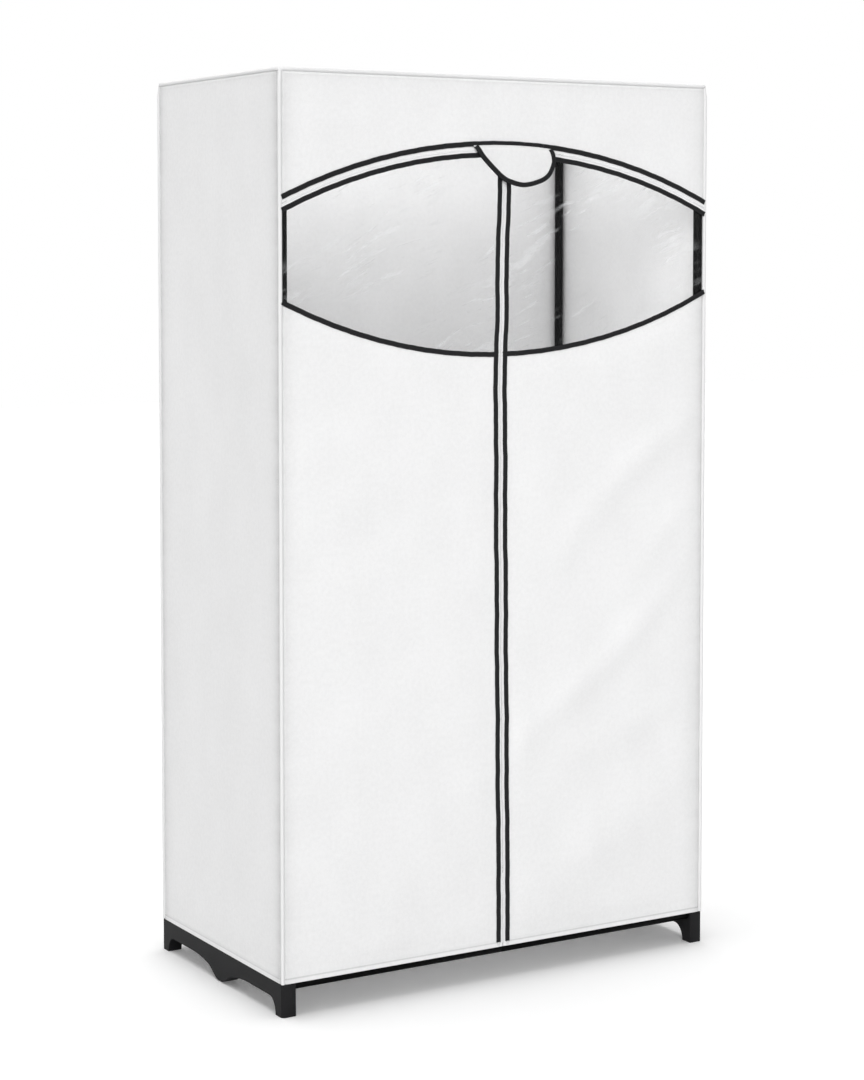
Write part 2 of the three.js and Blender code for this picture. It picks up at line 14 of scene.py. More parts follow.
import bmesh
import bpy
import numpy as np
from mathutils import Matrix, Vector


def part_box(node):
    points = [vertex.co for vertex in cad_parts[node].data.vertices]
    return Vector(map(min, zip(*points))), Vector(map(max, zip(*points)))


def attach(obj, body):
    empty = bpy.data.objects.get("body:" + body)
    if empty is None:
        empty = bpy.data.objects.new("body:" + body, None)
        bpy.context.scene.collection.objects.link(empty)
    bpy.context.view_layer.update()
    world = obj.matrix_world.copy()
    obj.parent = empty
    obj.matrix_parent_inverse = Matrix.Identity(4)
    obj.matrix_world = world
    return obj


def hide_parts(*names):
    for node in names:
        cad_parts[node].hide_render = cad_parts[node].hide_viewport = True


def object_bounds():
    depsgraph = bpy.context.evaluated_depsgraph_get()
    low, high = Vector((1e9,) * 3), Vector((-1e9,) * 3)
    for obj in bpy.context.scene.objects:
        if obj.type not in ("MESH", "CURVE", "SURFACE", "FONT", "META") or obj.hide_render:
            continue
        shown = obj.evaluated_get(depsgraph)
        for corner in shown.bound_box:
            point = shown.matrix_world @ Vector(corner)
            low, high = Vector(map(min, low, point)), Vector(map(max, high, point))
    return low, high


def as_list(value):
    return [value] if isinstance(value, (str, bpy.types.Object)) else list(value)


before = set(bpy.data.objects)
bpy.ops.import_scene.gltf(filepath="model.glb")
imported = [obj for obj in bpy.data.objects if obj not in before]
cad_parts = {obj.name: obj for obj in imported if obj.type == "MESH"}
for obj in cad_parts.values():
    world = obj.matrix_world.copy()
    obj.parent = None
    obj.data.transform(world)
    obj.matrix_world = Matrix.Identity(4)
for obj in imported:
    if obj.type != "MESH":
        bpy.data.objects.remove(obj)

log = logging.getLogger("wardrobe")

Array = np.ndarray
Colour = tuple[float, float, float]
Span = Callable[[Array, Array], tuple[Array, Array]]

CAD_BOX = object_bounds()
# Name of the stored painted shade along the cloth's seams.
SEAM_SHADE = "seam_tone"
FIXED_BODY = "frame_and_cover"
ENDS = ("front", "back")
TURN = 2 * math.pi
STITCH_STEP = 0.003
STITCH_LIFT = 0.0001
HEM_GAP = 0.002


# Node trees


class Wire:
    """An output of a node tree that takes part in sums."""

    def __init__(self, graph: "Graph", socket: bpy.types.NodeSocket) -> None:
        """Keeps the tree that it belongs to and the socket."""
        self.graph = graph
        self.socket = socket

    def math(self, operation: str, *values: Any) -> "Wire":
        """Returns the wire of a Math node that takes this wire first."""
        return self.graph.math(operation, self, *values)

    def __add__(self, other: Any) -> "Wire":
        """Returns the sum."""
        return self.graph.math("ADD", self, other)

    def __radd__(self, other: Any) -> "Wire":
        """Returns the sum with a number on the left."""
        return self.graph.math("ADD", other, self)

    def __sub__(self, other: Any) -> "Wire":
        """Returns the difference."""
        return self.graph.math("SUBTRACT", self, other)

    def __rsub__(self, other: Any) -> "Wire":
        """Returns a number less this wire."""
        return self.graph.math("SUBTRACT", other, self)

    def __mul__(self, other: Any) -> "Wire":
        """Returns the product."""
        return self.graph.math("MULTIPLY", self, other)

    def __rmul__(self, other: Any) -> "Wire":
        """Returns the product with a number on the left."""
        return self.graph.math("MULTIPLY", other, self)

    def wave(self, pitch: float) -> "Wire":
        """Returns the sine of this length, once round for each pitch."""
        return (self * (TURN / pitch)).math("SINE")

    def rise(self, low: float, high: float) -> "Wire":
        """Returns 0 below low, 1 above high and a soft step between them."""
        return self.graph.add(
            "ShaderNodeMapRange",
            {"interpolation_type": "SMOOTHSTEP"},
            {"Value": self, "From Min": low, "From Max": high},
        )


class Graph:
    """A node tree, with one method that adds any node to it."""

    def __init__(self, tree: bpy.types.NodeTree) -> None:
        """Keeps the tree."""
        self.tree = tree

    @classmethod
    def cleared(cls, owner: bpy.types.ID) -> "Graph":
        """Returns the emptied tree of a material or of the surroundings."""
        owner.use_nodes = True
        owner.node_tree.nodes.clear()
        return cls(owner.node_tree)

    def add(
        self,
        kind: str,
        settings: dict[str, Any] | None = None,
        values: dict[str | int, Any] | None = None,
        out: str | int = 0,
    ) -> Wire:
        """Adds a node.

        Args:
            kind: the node's type.
            settings: the node's own properties, set first.
            values: what its sockets hold, as numbers or wires, by name or place.
            out: the output that is wanted.

        Returns:
            The wire of that output, or of no socket for a node that has none.
        """
        node = self.tree.nodes.new(kind)
        for key, value in (settings or {}).items():
            setattr(node, key, value)
        for key, value in (values or {}).items():
            if isinstance(value, Wire):
                self.tree.links.new(value.socket, node.inputs[key])
            else:
                node.inputs[key].default_value = value
        return Wire(self, node.outputs[out] if len(node.outputs) else None)

    def math(self, operation: str, *values: Any) -> Wire:
        """Returns the wire of a Math node."""
        return self.add("ShaderNodeMath", {"operation": operation}, dict(enumerate(values)))

    def vector(self, operation: str, values: dict[str | int, Any], out: str | int = 0) -> Wire:
        """Returns a wire of a Vector Math node."""
        return self.add("ShaderNodeVectorMath", {"operation": operation}, values, out)

    def place(self, kind: str = "UV") -> Wire:
        """Returns the place on the flat cloth, or on the piece where the kind is Object."""
        return self.add("ShaderNodeTexCoord", out=kind)

    def part(self, vector: Wire, axis: str) -> Wire:
        """Returns a vector's part along one axis."""
        return self.add("ShaderNodeSeparateXYZ", {}, {0: vector}, axis)

    def blend(self, share: Any, low: Colour, high: Colour) -> Wire:
        """Returns a colour between two others."""
        values = {0: share, 6: (*low, 1.0), 7: (*high, 1.0)}
        return self.add("ShaderNodeMix", {"data_type": "RGBA"}, values, 2)

    def dimmed(self, colour: Wire, share: Wire) -> Wire:
        """Returns a colour times a share of its light."""
        return self.vector("SCALE", {0: colour, "Scale": share})

    def noise(self, place: Wire, scale: float, detail: float = 2.0, stretch: Colour = (1, 1, 1)) -> Wire:
        """Returns soft noise of a number of features per metre, drawn out along some axes."""
        drawn = self.vector("MULTIPLY", {0: place, 1: stretch})
        return self.add("ShaderNodeTexNoise", {}, {"Vector": drawn, "Scale": scale, "Detail": detail})

    def bump(self, height: Wire, depth: float) -> Wire:
        """Returns the normal of a relief of a real depth."""
        return self.add("ShaderNodeBump", {}, {"Height": height, "Distance": depth, "Strength": 1.0})


# Finishes


@dataclass(frozen=True)
class Finish:
    """A finish that is shared by every piece of one kind."""

    name: str
    slot: str
    colour: Colour
    roughness: float
    grain: float = 1.0

    def sockets(self, graph: Graph) -> dict[str, Any]:
        """Returns what the shader's sockets hold, by name."""
        return {"Base Color": (*self.colour, 1.0), "Roughness": self.roughness}

    def shade(self, share: float) -> Colour:
        """Returns the finish's colour, darker or lighter by a factor."""
        return tuple(channel * share for channel in self.colour)

    def material(self) -> bpy.types.Material:
        """Returns the finish's material, which is made at its first use."""
        if self.name in bpy.data.materials:
            return bpy.data.materials[self.name]
        material = bpy.data.materials.new(self.name)
        graph = Graph.cleared(material)
        shader = graph.add("ShaderNodeBsdfPrincipled", {}, self.sockets(graph))
        graph.add("ShaderNodeOutputMaterial", {}, {"Surface": shader})
        return material


@dataclass(frozen=True)
class ClothFinish(Finish):
    """Thin white non-woven cloth with a fine lattice of bonding points, that lets some light through."""

    bond_pitch: float = 0.0014
    relief: float = 0.00006
    light_path: float = 0.0007
    thin: float = 0.93
    # How far the painted shade along the seams may darken the base colour.
    seam_loss: float = 0.4

    def sockets(self, graph: Graph) -> dict[str, Any]:
        """Returns clouded colour, darkened by painted shade along its seams, with fibre and bonding points.
        """
        place = graph.place()
        across, along = graph.part(place, "X"), graph.part(place, "Y")
        cloud = graph.noise(place, 13.0, 3.0, (1.0, 0.5, 1.0))
        flock = graph.noise(place, 150.0, 3.0, (1.0, 0.8, 1.0))
        fibre = graph.noise(place, 700.0, 3.0, (1.0, 0.45, 1.0))
        lattice = (across + along).wave(self.bond_pitch) * (across - along).wave(self.bond_pitch)
        bonds = lattice.rise(0.25, 0.8)
        share = cloud * 0.28 + flock * 0.4 + fibre * 0.32 - bonds * 0.05
        # Painted shade: the stored seam shade darkens the base colour beside the seams.
        painted_seam_shade = graph.add("ShaderNodeAttribute", {"attribute_name": SEAM_SHADE}, {}, "Fac")
        clouded = graph.blend(share.rise(0.3, 0.68), self.shade(self.thin), self.colour)
        return {
            "Base Color": graph.dimmed(clouded, 1.0 - painted_seam_shade * self.seam_loss),
            "Roughness": self.roughness - 0.12 * bonds,
            "Normal": graph.bump(fibre * 0.8 - bonds, self.relief * self.grain),
            "Subsurface Weight": 1.0,
            "Subsurface Radius": (1.0, 1.0, 1.0),
            "Subsurface Scale": self.light_path,
            "Specular IOR Level": 0.25,
        }


@dataclass(frozen=True)
class TapeFinish(Finish):
    """Woven tape: ribs across its length, and warp threads along it."""

    rib_pitch: float = 0.0009
    warp_pitch: float = 0.0007
    relief: float = 0.00009
    dark: float = 0.82
    light: float = 1.12

    def sockets(self, graph: Graph) -> dict[str, Any]:
        """Returns colour and relief that follow the tape's length."""
        place = graph.place()
        ribs = graph.part(place, "X").wave(self.rib_pitch)
        warp = graph.part(place, "Y").wave(self.warp_pitch)
        worn = graph.noise(place, 60.0, 3.0)
        weave = ribs * 0.6 + warp * 0.25 + worn * 0.6
        return {
            "Base Color": graph.blend(weave.rise(-0.5, 1.2), self.shade(self.dark), self.shade(self.light)),
            "Roughness": self.roughness + 0.1 * worn - 0.05,
            "Normal": graph.bump(weave, self.relief),
            "Specular IOR Level": 0.15,
        }


@dataclass(frozen=True)
class ThreadFinish(Finish):
    """Twisted sewing thread, or the nylon of a zip's coil."""

    def sockets(self, graph: Graph) -> dict[str, Any]:
        """Returns a slight change of shade from one turn to the next."""
        place = graph.place("Object")
        speck = graph.noise(place, 900.0 * self.grain)
        return {
            "Base Color": graph.blend(speck.rise(0.3, 0.7), self.shade(0.85), self.colour),
            "Roughness": self.roughness + 0.1 * speck,
        }


@dataclass(frozen=True)
class VinylFinish(Finish):
    """Clear soft vinyl with pale handling creases."""

    film: float = 0.005
    crease: float = 0.16
    crease_turn: float = -0.42
    wander: float = 0.06
    relief: float = 0.0012

    def sockets(self, graph: Graph) -> dict[str, Any]:
        """Returns a clear film whose creases are whiter and duller."""
        place = graph.place()
        rotation = (0.0, 0.0, self.crease_turn)
        turned = graph.add("ShaderNodeMapping", {}, {"Vector": place, "Rotation": rotation})
        bent = graph.noise(place, 5.0)
        shift = graph.vector("SCALE", {0: bent, "Scale": self.wander})
        wandering = graph.vector("ADD", {0: turned, 1: shift})
        broad = graph.noise(wandering, 7.0, 2.0, (1.0, 6.0, 1.0)).rise(0.56, 0.66)
        narrow = graph.noise(wandering, 17.0, 3.0, (1.0, 8.0, 1.0)).rise(0.6, 0.66)
        patch = graph.noise(place, 6.0).rise(0.42, 0.6)
        haze = (broad * 0.45 + narrow * 0.55) * patch
        return {
            "Base Color": (*self.colour, 1.0),
            "Roughness": self.roughness + 0.3 * haze,
            "Alpha": self.film + self.crease * haze,
            "Normal": graph.bump(haze + bent * 2.0, self.relief),
            "Specular IOR Level": 0.3,
        }


@dataclass(frozen=True)
class SteelFinish(Finish):
    """Black paint baked on to steel tube: a little orange peel, and faint rubbing along the tube."""

    relief: float = 0.00002
    rubbed: float = 1.7

    def sockets(self, graph: Graph) -> dict[str, Any]:
        """Returns paint with a soft sheen."""
        place = graph.place("Object")
        peel = graph.noise(place, 1400.0, 1.0)
        rub = graph.noise(place, 40.0, 4.0).rise(0.55, 0.8)
        return {
            "Base Color": graph.blend(rub, self.colour, self.shade(self.rubbed)),
            "Roughness": self.roughness + 0.18 * rub,
            "Normal": graph.bump(peel, self.relief),
            "Specular IOR Level": 0.04,
        }


@dataclass(frozen=True)
class MouldingFinish(Finish):
    """Black moulded plastic with a fine spark-etched skin."""

    relief: float = 0.00004

    def sockets(self, graph: Graph) -> dict[str, Any]:
        """Returns a satin skin, a little greyer where it is handled."""
        place = graph.place("Object")
        etch = graph.noise(place, 1700.0, 2.0)
        flow = graph.noise(place, 22.0, 3.0)
        return {
            "Base Color": graph.blend(flow.rise(0.35, 0.75), self.shade(0.9), self.shade(1.2)),
            "Roughness": self.roughness + 0.14 * flow - 0.06 * etch,
            "Normal": graph.bump(etch, self.relief),
            "Specular IOR Level": 0.1,
        }


@dataclass(frozen=True)
class PlatedFinish(Finish):
    """Nickel-plated zinc, tumbled and lightly scratched."""

    relief: float = 0.00001

    def sockets(self, graph: Graph) -> dict[str, Any]:
        """Returns bright metal with fine scratches."""
        place = graph.place("Object")
        scratch = graph.noise(place, 500.0, 4.0, (1.0, 1.0, 6.0)).rise(0.45, 0.7)
        return {
            "Base Color": graph.blend(scratch, self.shade(0.88), self.colour),
            "Metallic": 1.0,
            "Roughness": self.roughness + 0.2 * scratch,
            "Normal": graph.bump(scratch, self.relief),
        }


CLOTH = ClothFinish("nonwoven_cloth", "white_cloth", (0.845, 0.845, 0.847), 0.86)
# The piping is the same white cloth as the panels; its darker colour is painted shade on the round beads.
PIPING = ClothFinish("piping_cloth", "white_cloth", (0.75, 0.75, 0.752), 0.8, 0.6, thin=0.96)
BINDING = TapeFinish("black_binding_tape", "black_binding", (0.012, 0.012, 0.013), 0.8)
ZIP_TAPE = TapeFinish(
    "white_zip_tape", "zip_tape", (0.88, 0.88, 0.885), 0.7, 1.0, 0.0012, 0.0008, dark=0.94, light=1.03
)
COIL = ThreadFinish("white_zip_coil", "zip_tape", (0.9, 0.9, 0.905), 0.35)
WHITE_THREAD = ThreadFinish("white_thread", "white_cloth", (0.82, 0.82, 0.82), 0.6)
BLACK_THREAD = ThreadFinish("black_thread", "black_binding", (0.015, 0.015, 0.016), 0.7)
VINYL = VinylFinish("window_vinyl", "clear_vinyl", (0.9, 0.92, 0.93), 0.08)
STEEL = SteelFinish("black_tube_paint", "black_tube", (0.0015, 0.0015, 0.0016), 0.42)
MOULDING = MouldingFinish("moulded_plastic", "black_moulding", (0.01, 0.01, 0.0107), 0.5)
PLATED = PlatedFinish("plated_zinc", "zip_metal", (0.36, 0.36, 0.37), 0.3)


# Meshes


@dataclass
class Shell:
    """Points and faces of one closed shell, with a place on the cloth for each point."""

    points: Array
    quads: Array
    caps: list[list[int]] = field(default_factory=list)
    uv: Array | None = None

    def volume(self) -> float:
        """Returns the signed volume, which is negative if the faces point inwards."""
        corners = [self.quads[:, (0, 1, 2)], self.quads[:, (0, 2, 3)]]
        for cap in self.caps:
            corners.append(np.array([(cap[0], cap[i], cap[i + 1]) for i in range(1, len(cap) - 1)]))
        a, b, c = (self.points[np.concatenate(corners)[:, i]] for i in range(3))
        return float(np.einsum("ij,ij->i", a, np.cross(b, c)).sum())

    def faces(self) -> list[list[int]]:
        """Returns the faces, turned to point outwards."""
        faces = self.quads.tolist() + self.caps
        return [face[::-1] for face in faces] if self.volume() < 0 else faces


def quads_of(rows: int, columns: int, wrap_rows: bool = False, wrap_columns: bool = False) -> Array:
    """Returns the faces between rows of points, closed on themselves either way if asked."""
    starts = np.arange(rows - (not wrap_rows)), np.arange(columns - (not wrap_columns))
    i, j = np.meshgrid(*starts, indexing="ij")
    next_i, next_j = (i + 1) % rows, (j + 1) % columns
    corners = (i * columns + j, i * columns + next_j, next_i * columns + next_j, next_i * columns + j)
    return np.stack([corner.ravel() for corner in corners], axis=1)


def sheet_shell(front: Array, back: Array, uv: Array) -> Shell:
    """Makes a thin sheet from its two faces.

    Args:
        front: rows of points of one face.
        back: the same points on the other face.
        uv: the place of each point on the flat cloth.

    Returns:
        The closed shell.
    """
    rows, columns = front.shape[:2]
    count = rows * columns
    face = quads_of(rows, columns)
    index = np.arange(count).reshape(rows, columns)
    rim = np.concatenate([index[0, :-1], index[:-1, -1], index[-1, :0:-1], index[:0:-1, 0]])
    beyond = np.roll(rim, -1)
    edge = np.stack([beyond, rim, rim + count, beyond + count], axis=1)
    points = np.concatenate([front.reshape(-1, 3), back.reshape(-1, 3)])
    quads = np.concatenate([face, face[:, ::-1] + count, edge])
    return Shell(points, quads, [], np.tile(uv.reshape(-1, 2), (2, 1)))


def summed(steps: Array) -> Array:
    """Returns the running sum of some steps, from zero."""
    return np.concatenate([[0.0], np.cumsum(steps)])


def run_along(path: Array) -> Array:
    """Returns how far along a path each of its points lies."""
    return summed(np.linalg.norm(np.diff(path, axis=0), axis=1))


def sideways_of(path: Array) -> Array:
    """Returns the direction to the left of a flat path at each of its points."""
    ahead = np.gradient(path, axis=0)
    ahead /= np.linalg.norm(ahead, axis=1)[:, None]
    return np.stack([-ahead[:, 1], ahead[:, 0]], axis=1)


def flat_places(along: Array, across: Array) -> Array:
    """Returns the places on the flat cloth of rows of points, from their runs along and across it."""
    return np.stack(np.meshgrid(along, across, indexing="ij"), axis=-1).reshape(-1, 2)


def ring_shell(rings: Array, closed: bool = False) -> Shell:
    """Makes a shell through rings of points, capped at both ends unless it closes on itself."""
    rows, columns = rings.shape[:2]
    quads = quads_of(rows, columns, closed, True)
    last = (rows - 1) * columns
    caps = [] if closed else [list(range(columns))[::-1], list(range(last, last + columns))]
    along = summed(np.linalg.norm(np.diff(rings, axis=0), axis=2).mean(axis=1))
    around = summed(np.linalg.norm(np.diff(rings, axis=1), axis=2).mean(axis=0))
    return Shell(rings.reshape(-1, 3), quads, caps, flat_places(along, around))


def turned_rings(profile: Array, start: Sequence[float], axis: int, way: int, sides: int) -> Array:
    """Turns a profile about an axis.

    Args:
        profile: radius and height of each ring.
        start: the point from which heights are measured.
        axis: the axis that it is turned about.
        way: 1 or -1, the direction of its heights.
        sides: how many points each ring has.

    Returns:
        The rings of points.
    """
    angles = np.linspace(0, TURN, sides, endpoint=False)
    rings = np.zeros((len(profile), sides, 3))
    for other, wave in zip([i for i in range(3) if i != axis], (np.cos, np.sin)):
        rings[..., other] = start[other] + profile[:, :1] * wave(angles)
    rings[..., axis] = start[axis] + way * profile[:, 1:]
    return rings


def placed(name: str, data: bpy.types.ID) -> bpy.types.Object:
    """Returns a new object of a mesh, lamp or camera, in the scene."""
    piece = bpy.data.objects.new(name, data)
    bpy.context.scene.collection.objects.link(piece)
    return piece


def linked(name: str, mesh: bpy.types.Mesh, finish: Finish) -> bpy.types.Object:
    """Returns a new object of a mesh, in the scene and with its finish."""
    mesh.materials.clear()
    mesh.materials.append(finish.material())
    return placed(name, mesh)


def smooth_over(mesh: bpy.types.Mesh, crease: float) -> None:
    """Shades a mesh smooth, apart from its edges past an angle in degrees."""
    mesh.shade_smooth()
    mesh.set_sharp_from_angle(angle=math.radians(crease))


def round_edges(piece: bpy.types.Object, width: float, limit: float) -> None:
    """Gives a piece a modifier that rounds its edges past an angle in degrees."""
    bevel = piece.modifiers.new("rounding", "BEVEL")
    bevel.width, bevel.segments, bevel.angle_limit = width, 2, math.radians(limit)


def solid(name: str, shells: Sequence[Shell], finish: Finish, crease: float = 40.0) -> bpy.types.Object:
    """Makes one object of closed shells.

    Args:
        name: the object's name.
        shells: the shells, each closed by itself.
        finish: its finish.
        crease: the angle in degrees past which an edge is drawn sharp.

    Returns:
        The object, at the origin.
    """
    points, faces, places, start = [], [], [], 0
    for shell in shells:
        faces += [[corner + start for corner in face] for face in shell.faces()]
        points.append(shell.points)
        places.append(np.zeros((len(shell.points), 2)) if shell.uv is None else shell.uv)
        start += len(shell.points)
    mesh = bpy.data.meshes.new(name)
    mesh.from_pydata(np.concatenate(points).tolist(), [], faces)
    corners = np.zeros(len(mesh.loops), dtype=np.int32)
    mesh.loops.foreach_get("vertex_index", corners)
    layer = mesh.uv_layers.new(name="UVMap")
    layer.data.foreach_set("uv", np.concatenate(places)[corners].ravel())
    smooth_over(mesh, crease)
    return linked(name, mesh, finish)


def baked(piece: bpy.types.Object, name: str, finish: Finish) -> bpy.types.Object:
    """Returns a plain copy of a piece with its modifiers applied, and deletes the piece."""
    evaluated = piece.evaluated_get(bpy.context.evaluated_depsgraph_get())
    mesh = bpy.data.meshes.new_from_object(evaluated)
    bpy.data.objects.remove(piece)
    return linked(name, mesh, finish)


def write_painted_shade(piece: bpy.types.Object, tone: Array) -> None:
    """Stores on both faces of a sheet how much painted shade darkens it along its seams."""
    layer = piece.data.attributes.new(SEAM_SHADE, "FLOAT", "POINT")
    layer.data.foreach_set("value", np.tile(np.clip(tone, 0.0, 1.0).ravel(), 2))


def settle(piece: bpy.types.Object, body: str, finish: Finish, *nodes: str) -> bpy.types.Object:
    """Hands a finished piece to its body, in place of the nodes it stands for."""
    piece.name = piece.data.name = piece.name.replace(".", "_")
    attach(piece, body)
    if nodes:
        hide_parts(*nodes)
    log.info("%s: %d faces on %s", piece.name, len(piece.data.polygons), body)
    return piece


def soft_step(value: Array, low: float, high: float) -> Array:
    """Returns 0 below low, 1 above high and a smooth rise between them."""
    share = np.clip((value - low) / (high - low), 0.0, 1.0)
    return share * share * (3.0 - 2.0 * share)


def hermite(knots: Array, values: Array, slopes: Array, places: Array) -> Array:
    """Returns a smooth curve through values at knots, read at some places."""
    index = np.clip(np.searchsorted(knots, places) - 1, 0, len(knots) - 2)
    width = knots[index + 1] - knots[index]
    t = (places - knots[index]) / width
    start = (2 * t**3 - 3 * t**2 + 1) * values[index] + (t**3 - 2 * t**2 + t) * width * slopes[index]
    return start + (3 * t**2 - 2 * t**3) * values[index + 1] + (t**3 - t**2) * width * slopes[index + 1]


def stations(length: float, step: float, margins: Sequence[float] = (0.0,)) -> Array:
    """Returns shares of a length at an even step, and at some distances from both its ends."""
    margin = np.array(margins)
    inner = length - 2 * margin[-1]
    even = margin[-1] + np.linspace(0.0, inner, max(2, round(inner / step) + 1))[1:-1]
    return np.concatenate([margin, even, length - margin[::-1]]) / length


# Sizes


@dataclass
class Layout:
    """Driving sizes of the cover, and the lines that follow from them and from the frame."""

    cloth: float = 0.0012
    header_drop: float = 0.114
    arch_fall: float = 0.099
    binding_width: float = 0.009
    zip_band: float = 0.011
    window_height: float = 0.345
    window_rise: float = 0.103
    window_tilt: float = 0.011
    middle_band: float = 0.01
    middle_binding: float = 0.009
    binding_lift: float = 0.009
    slot_half: float = 0.0009
    tuck: float = 0.0022
    sway_width: float = 0.0085
    sway_heights: tuple[float, ...] = (0.135, 1.04, 1.13, 1.2, 1.3, 1.37, 1.424)
    sway_shares: tuple[float, ...] = (0.0, 0.94, 0.97, 0.62, 0.5, 0.26, 0.0)

    def __post_init__(self) -> None:
        """Works out the lines of the front."""
        low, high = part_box("cover_header")
        self.seam_x = high.x
        self.panel_top = high.z
        self.face = -low.y
        self.face_back = -high.y
        self.height = CAD_BOX[1].z
        self.half_width = CAD_BOX[1].x
        self.half_depth = CAD_BOX[1].y
        side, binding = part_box("cover_right_panel"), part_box("header_binding")
        self.seam_y = side[1].y
        self.hem_z = side[0].z
        self.side_face = side[0].x + self.cloth
        self.top_face = self.height - (self.half_width - self.side_face)
        self.binding_back = -binding[1].y
        self.binding_front = -binding[0].y
        self.arch_top = self.height - self.header_drop
        self.arch_radius = self.radius_of(self.arch_fall)
        self.arch_centre = self.arch_top - self.arch_radius
        self.header_radius = self.arch_radius - self.binding_width
        self.zip_radius = self.header_radius - self.zip_band / 2
        self.door_radius = self.header_radius - self.zip_band
        self.window_radius = self.door_radius - self.binding_width
        self.window_low = self.arch_centre + self.window_radius - self.window_height
        self.low_radius = self.radius_of(self.window_rise)
        self.low_centre = self.window_low + self.low_radius
        self.middle_half = self.middle_band / 2

    def radius_of(self, rise: float) -> float:
        """Returns the radius of an arc that spans the front and rises so far."""
        return (self.seam_x**2 + rise**2) / (2 * rise)

    def arch(self, radius: float, x: Array) -> Array:
        """Returns the height of one of the opening's arches over x."""
        return self.arch_centre + np.sqrt(radius**2 - x**2)

    def arch_at(self, radius: float, x: float = 0.0) -> float:
        """Returns the height of an arch at one x."""
        return float(self.arch(radius, np.array(x)))

    def arch_line(self, radius: float, x: Array) -> Array:
        """Returns points (x, z) along an arch."""
        return np.stack([x, self.arch(radius, x)], axis=1)

    def from_centre(self, a: Array, b: Array) -> Array:
        """Returns how far points lie from the centre of the arches."""
        return np.hypot(a, b - self.arch_centre)

    def under(self, offset: float, x: Array) -> Array:
        """Returns the height of the windows' lower edge over x, moved down by an offset."""
        return self.low_centre + self.window_tilt * x - np.sqrt((self.low_radius + offset) ** 2 - x**2)

    def below_window(self, a: Array, b: Array) -> Array:
        """Returns how far points lie below the windows' lower edge."""
        return np.hypot(a, b - self.low_centre - self.window_tilt * a) - self.low_radius

    def swayed(self, x: Array, z: Array) -> Array:
        """Returns x after the slack cloth has drawn the closed zip a little to the left."""
        heights, shares = np.array(self.sway_heights), np.array(self.sway_shares)
        inside = np.clip(z, heights[0], heights[-1])
        drawn = self.sway_width * hermite(heights, shares, np.gradient(shares, heights), inside)
        wander = 0.0005 * np.sin(TURN * z / 0.23 + 1.0) + 0.0003 * np.sin(TURN * z / 0.091)
        hold = soft_step(z, 0.135, 0.22) * (1.0 - soft_step(z, 1.38, 1.43))
        slack = (1.0 - np.abs(x) / self.seam_x) ** 2
        return x + (wander * hold - drawn) * slack

    def swayed_line(self, x: Array, z: Array) -> Array:
        """Returns points (x, z), drawn to the left with the zip."""
        return np.stack([self.swayed(x, z), z], axis=1)


class Side(Enum):
    """The wearer's left and right of the front, by the sign of x."""

    LEFT = -1
    RIGHT = 1

    @property
    def label(self) -> str:
        """The side's name in the nodes."""
        return self.name.lower()


class Plane(Enum):
    """The way that a flat part of the cover faces: the place of its normal's axis, and its sign."""

    FRONT = (1, -1)
    BACK = (1, 1)
    LEFT = (0, -1)
    RIGHT = (0, 1)
    TOP = (2, 1)

    def place(self, a: Array, b: Array, out: Array) -> Array:
        """Returns points at a and b on the plane, and at a distance out from the middle of the wardrobe."""
        axis, sign = self.value
        parts = [a, b]
        parts.insert(axis, sign * out)
        return np.stack(np.broadcast_arrays(*parts), axis=-1)


def on_front(flat: Array, out: Array | float) -> Array:
    """Returns points (x, z) on the front, at a distance out from the middle of the wardrobe."""
    return Plane.FRONT.place(flat[..., 0], flat[..., 1], out)


def middle_of(node: str) -> list[float]:
    """Returns the middle of a node's box."""
    return [(low + high) / 2 for low, high in zip(*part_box(node))]


# Rows and beads, made by Geometry Nodes


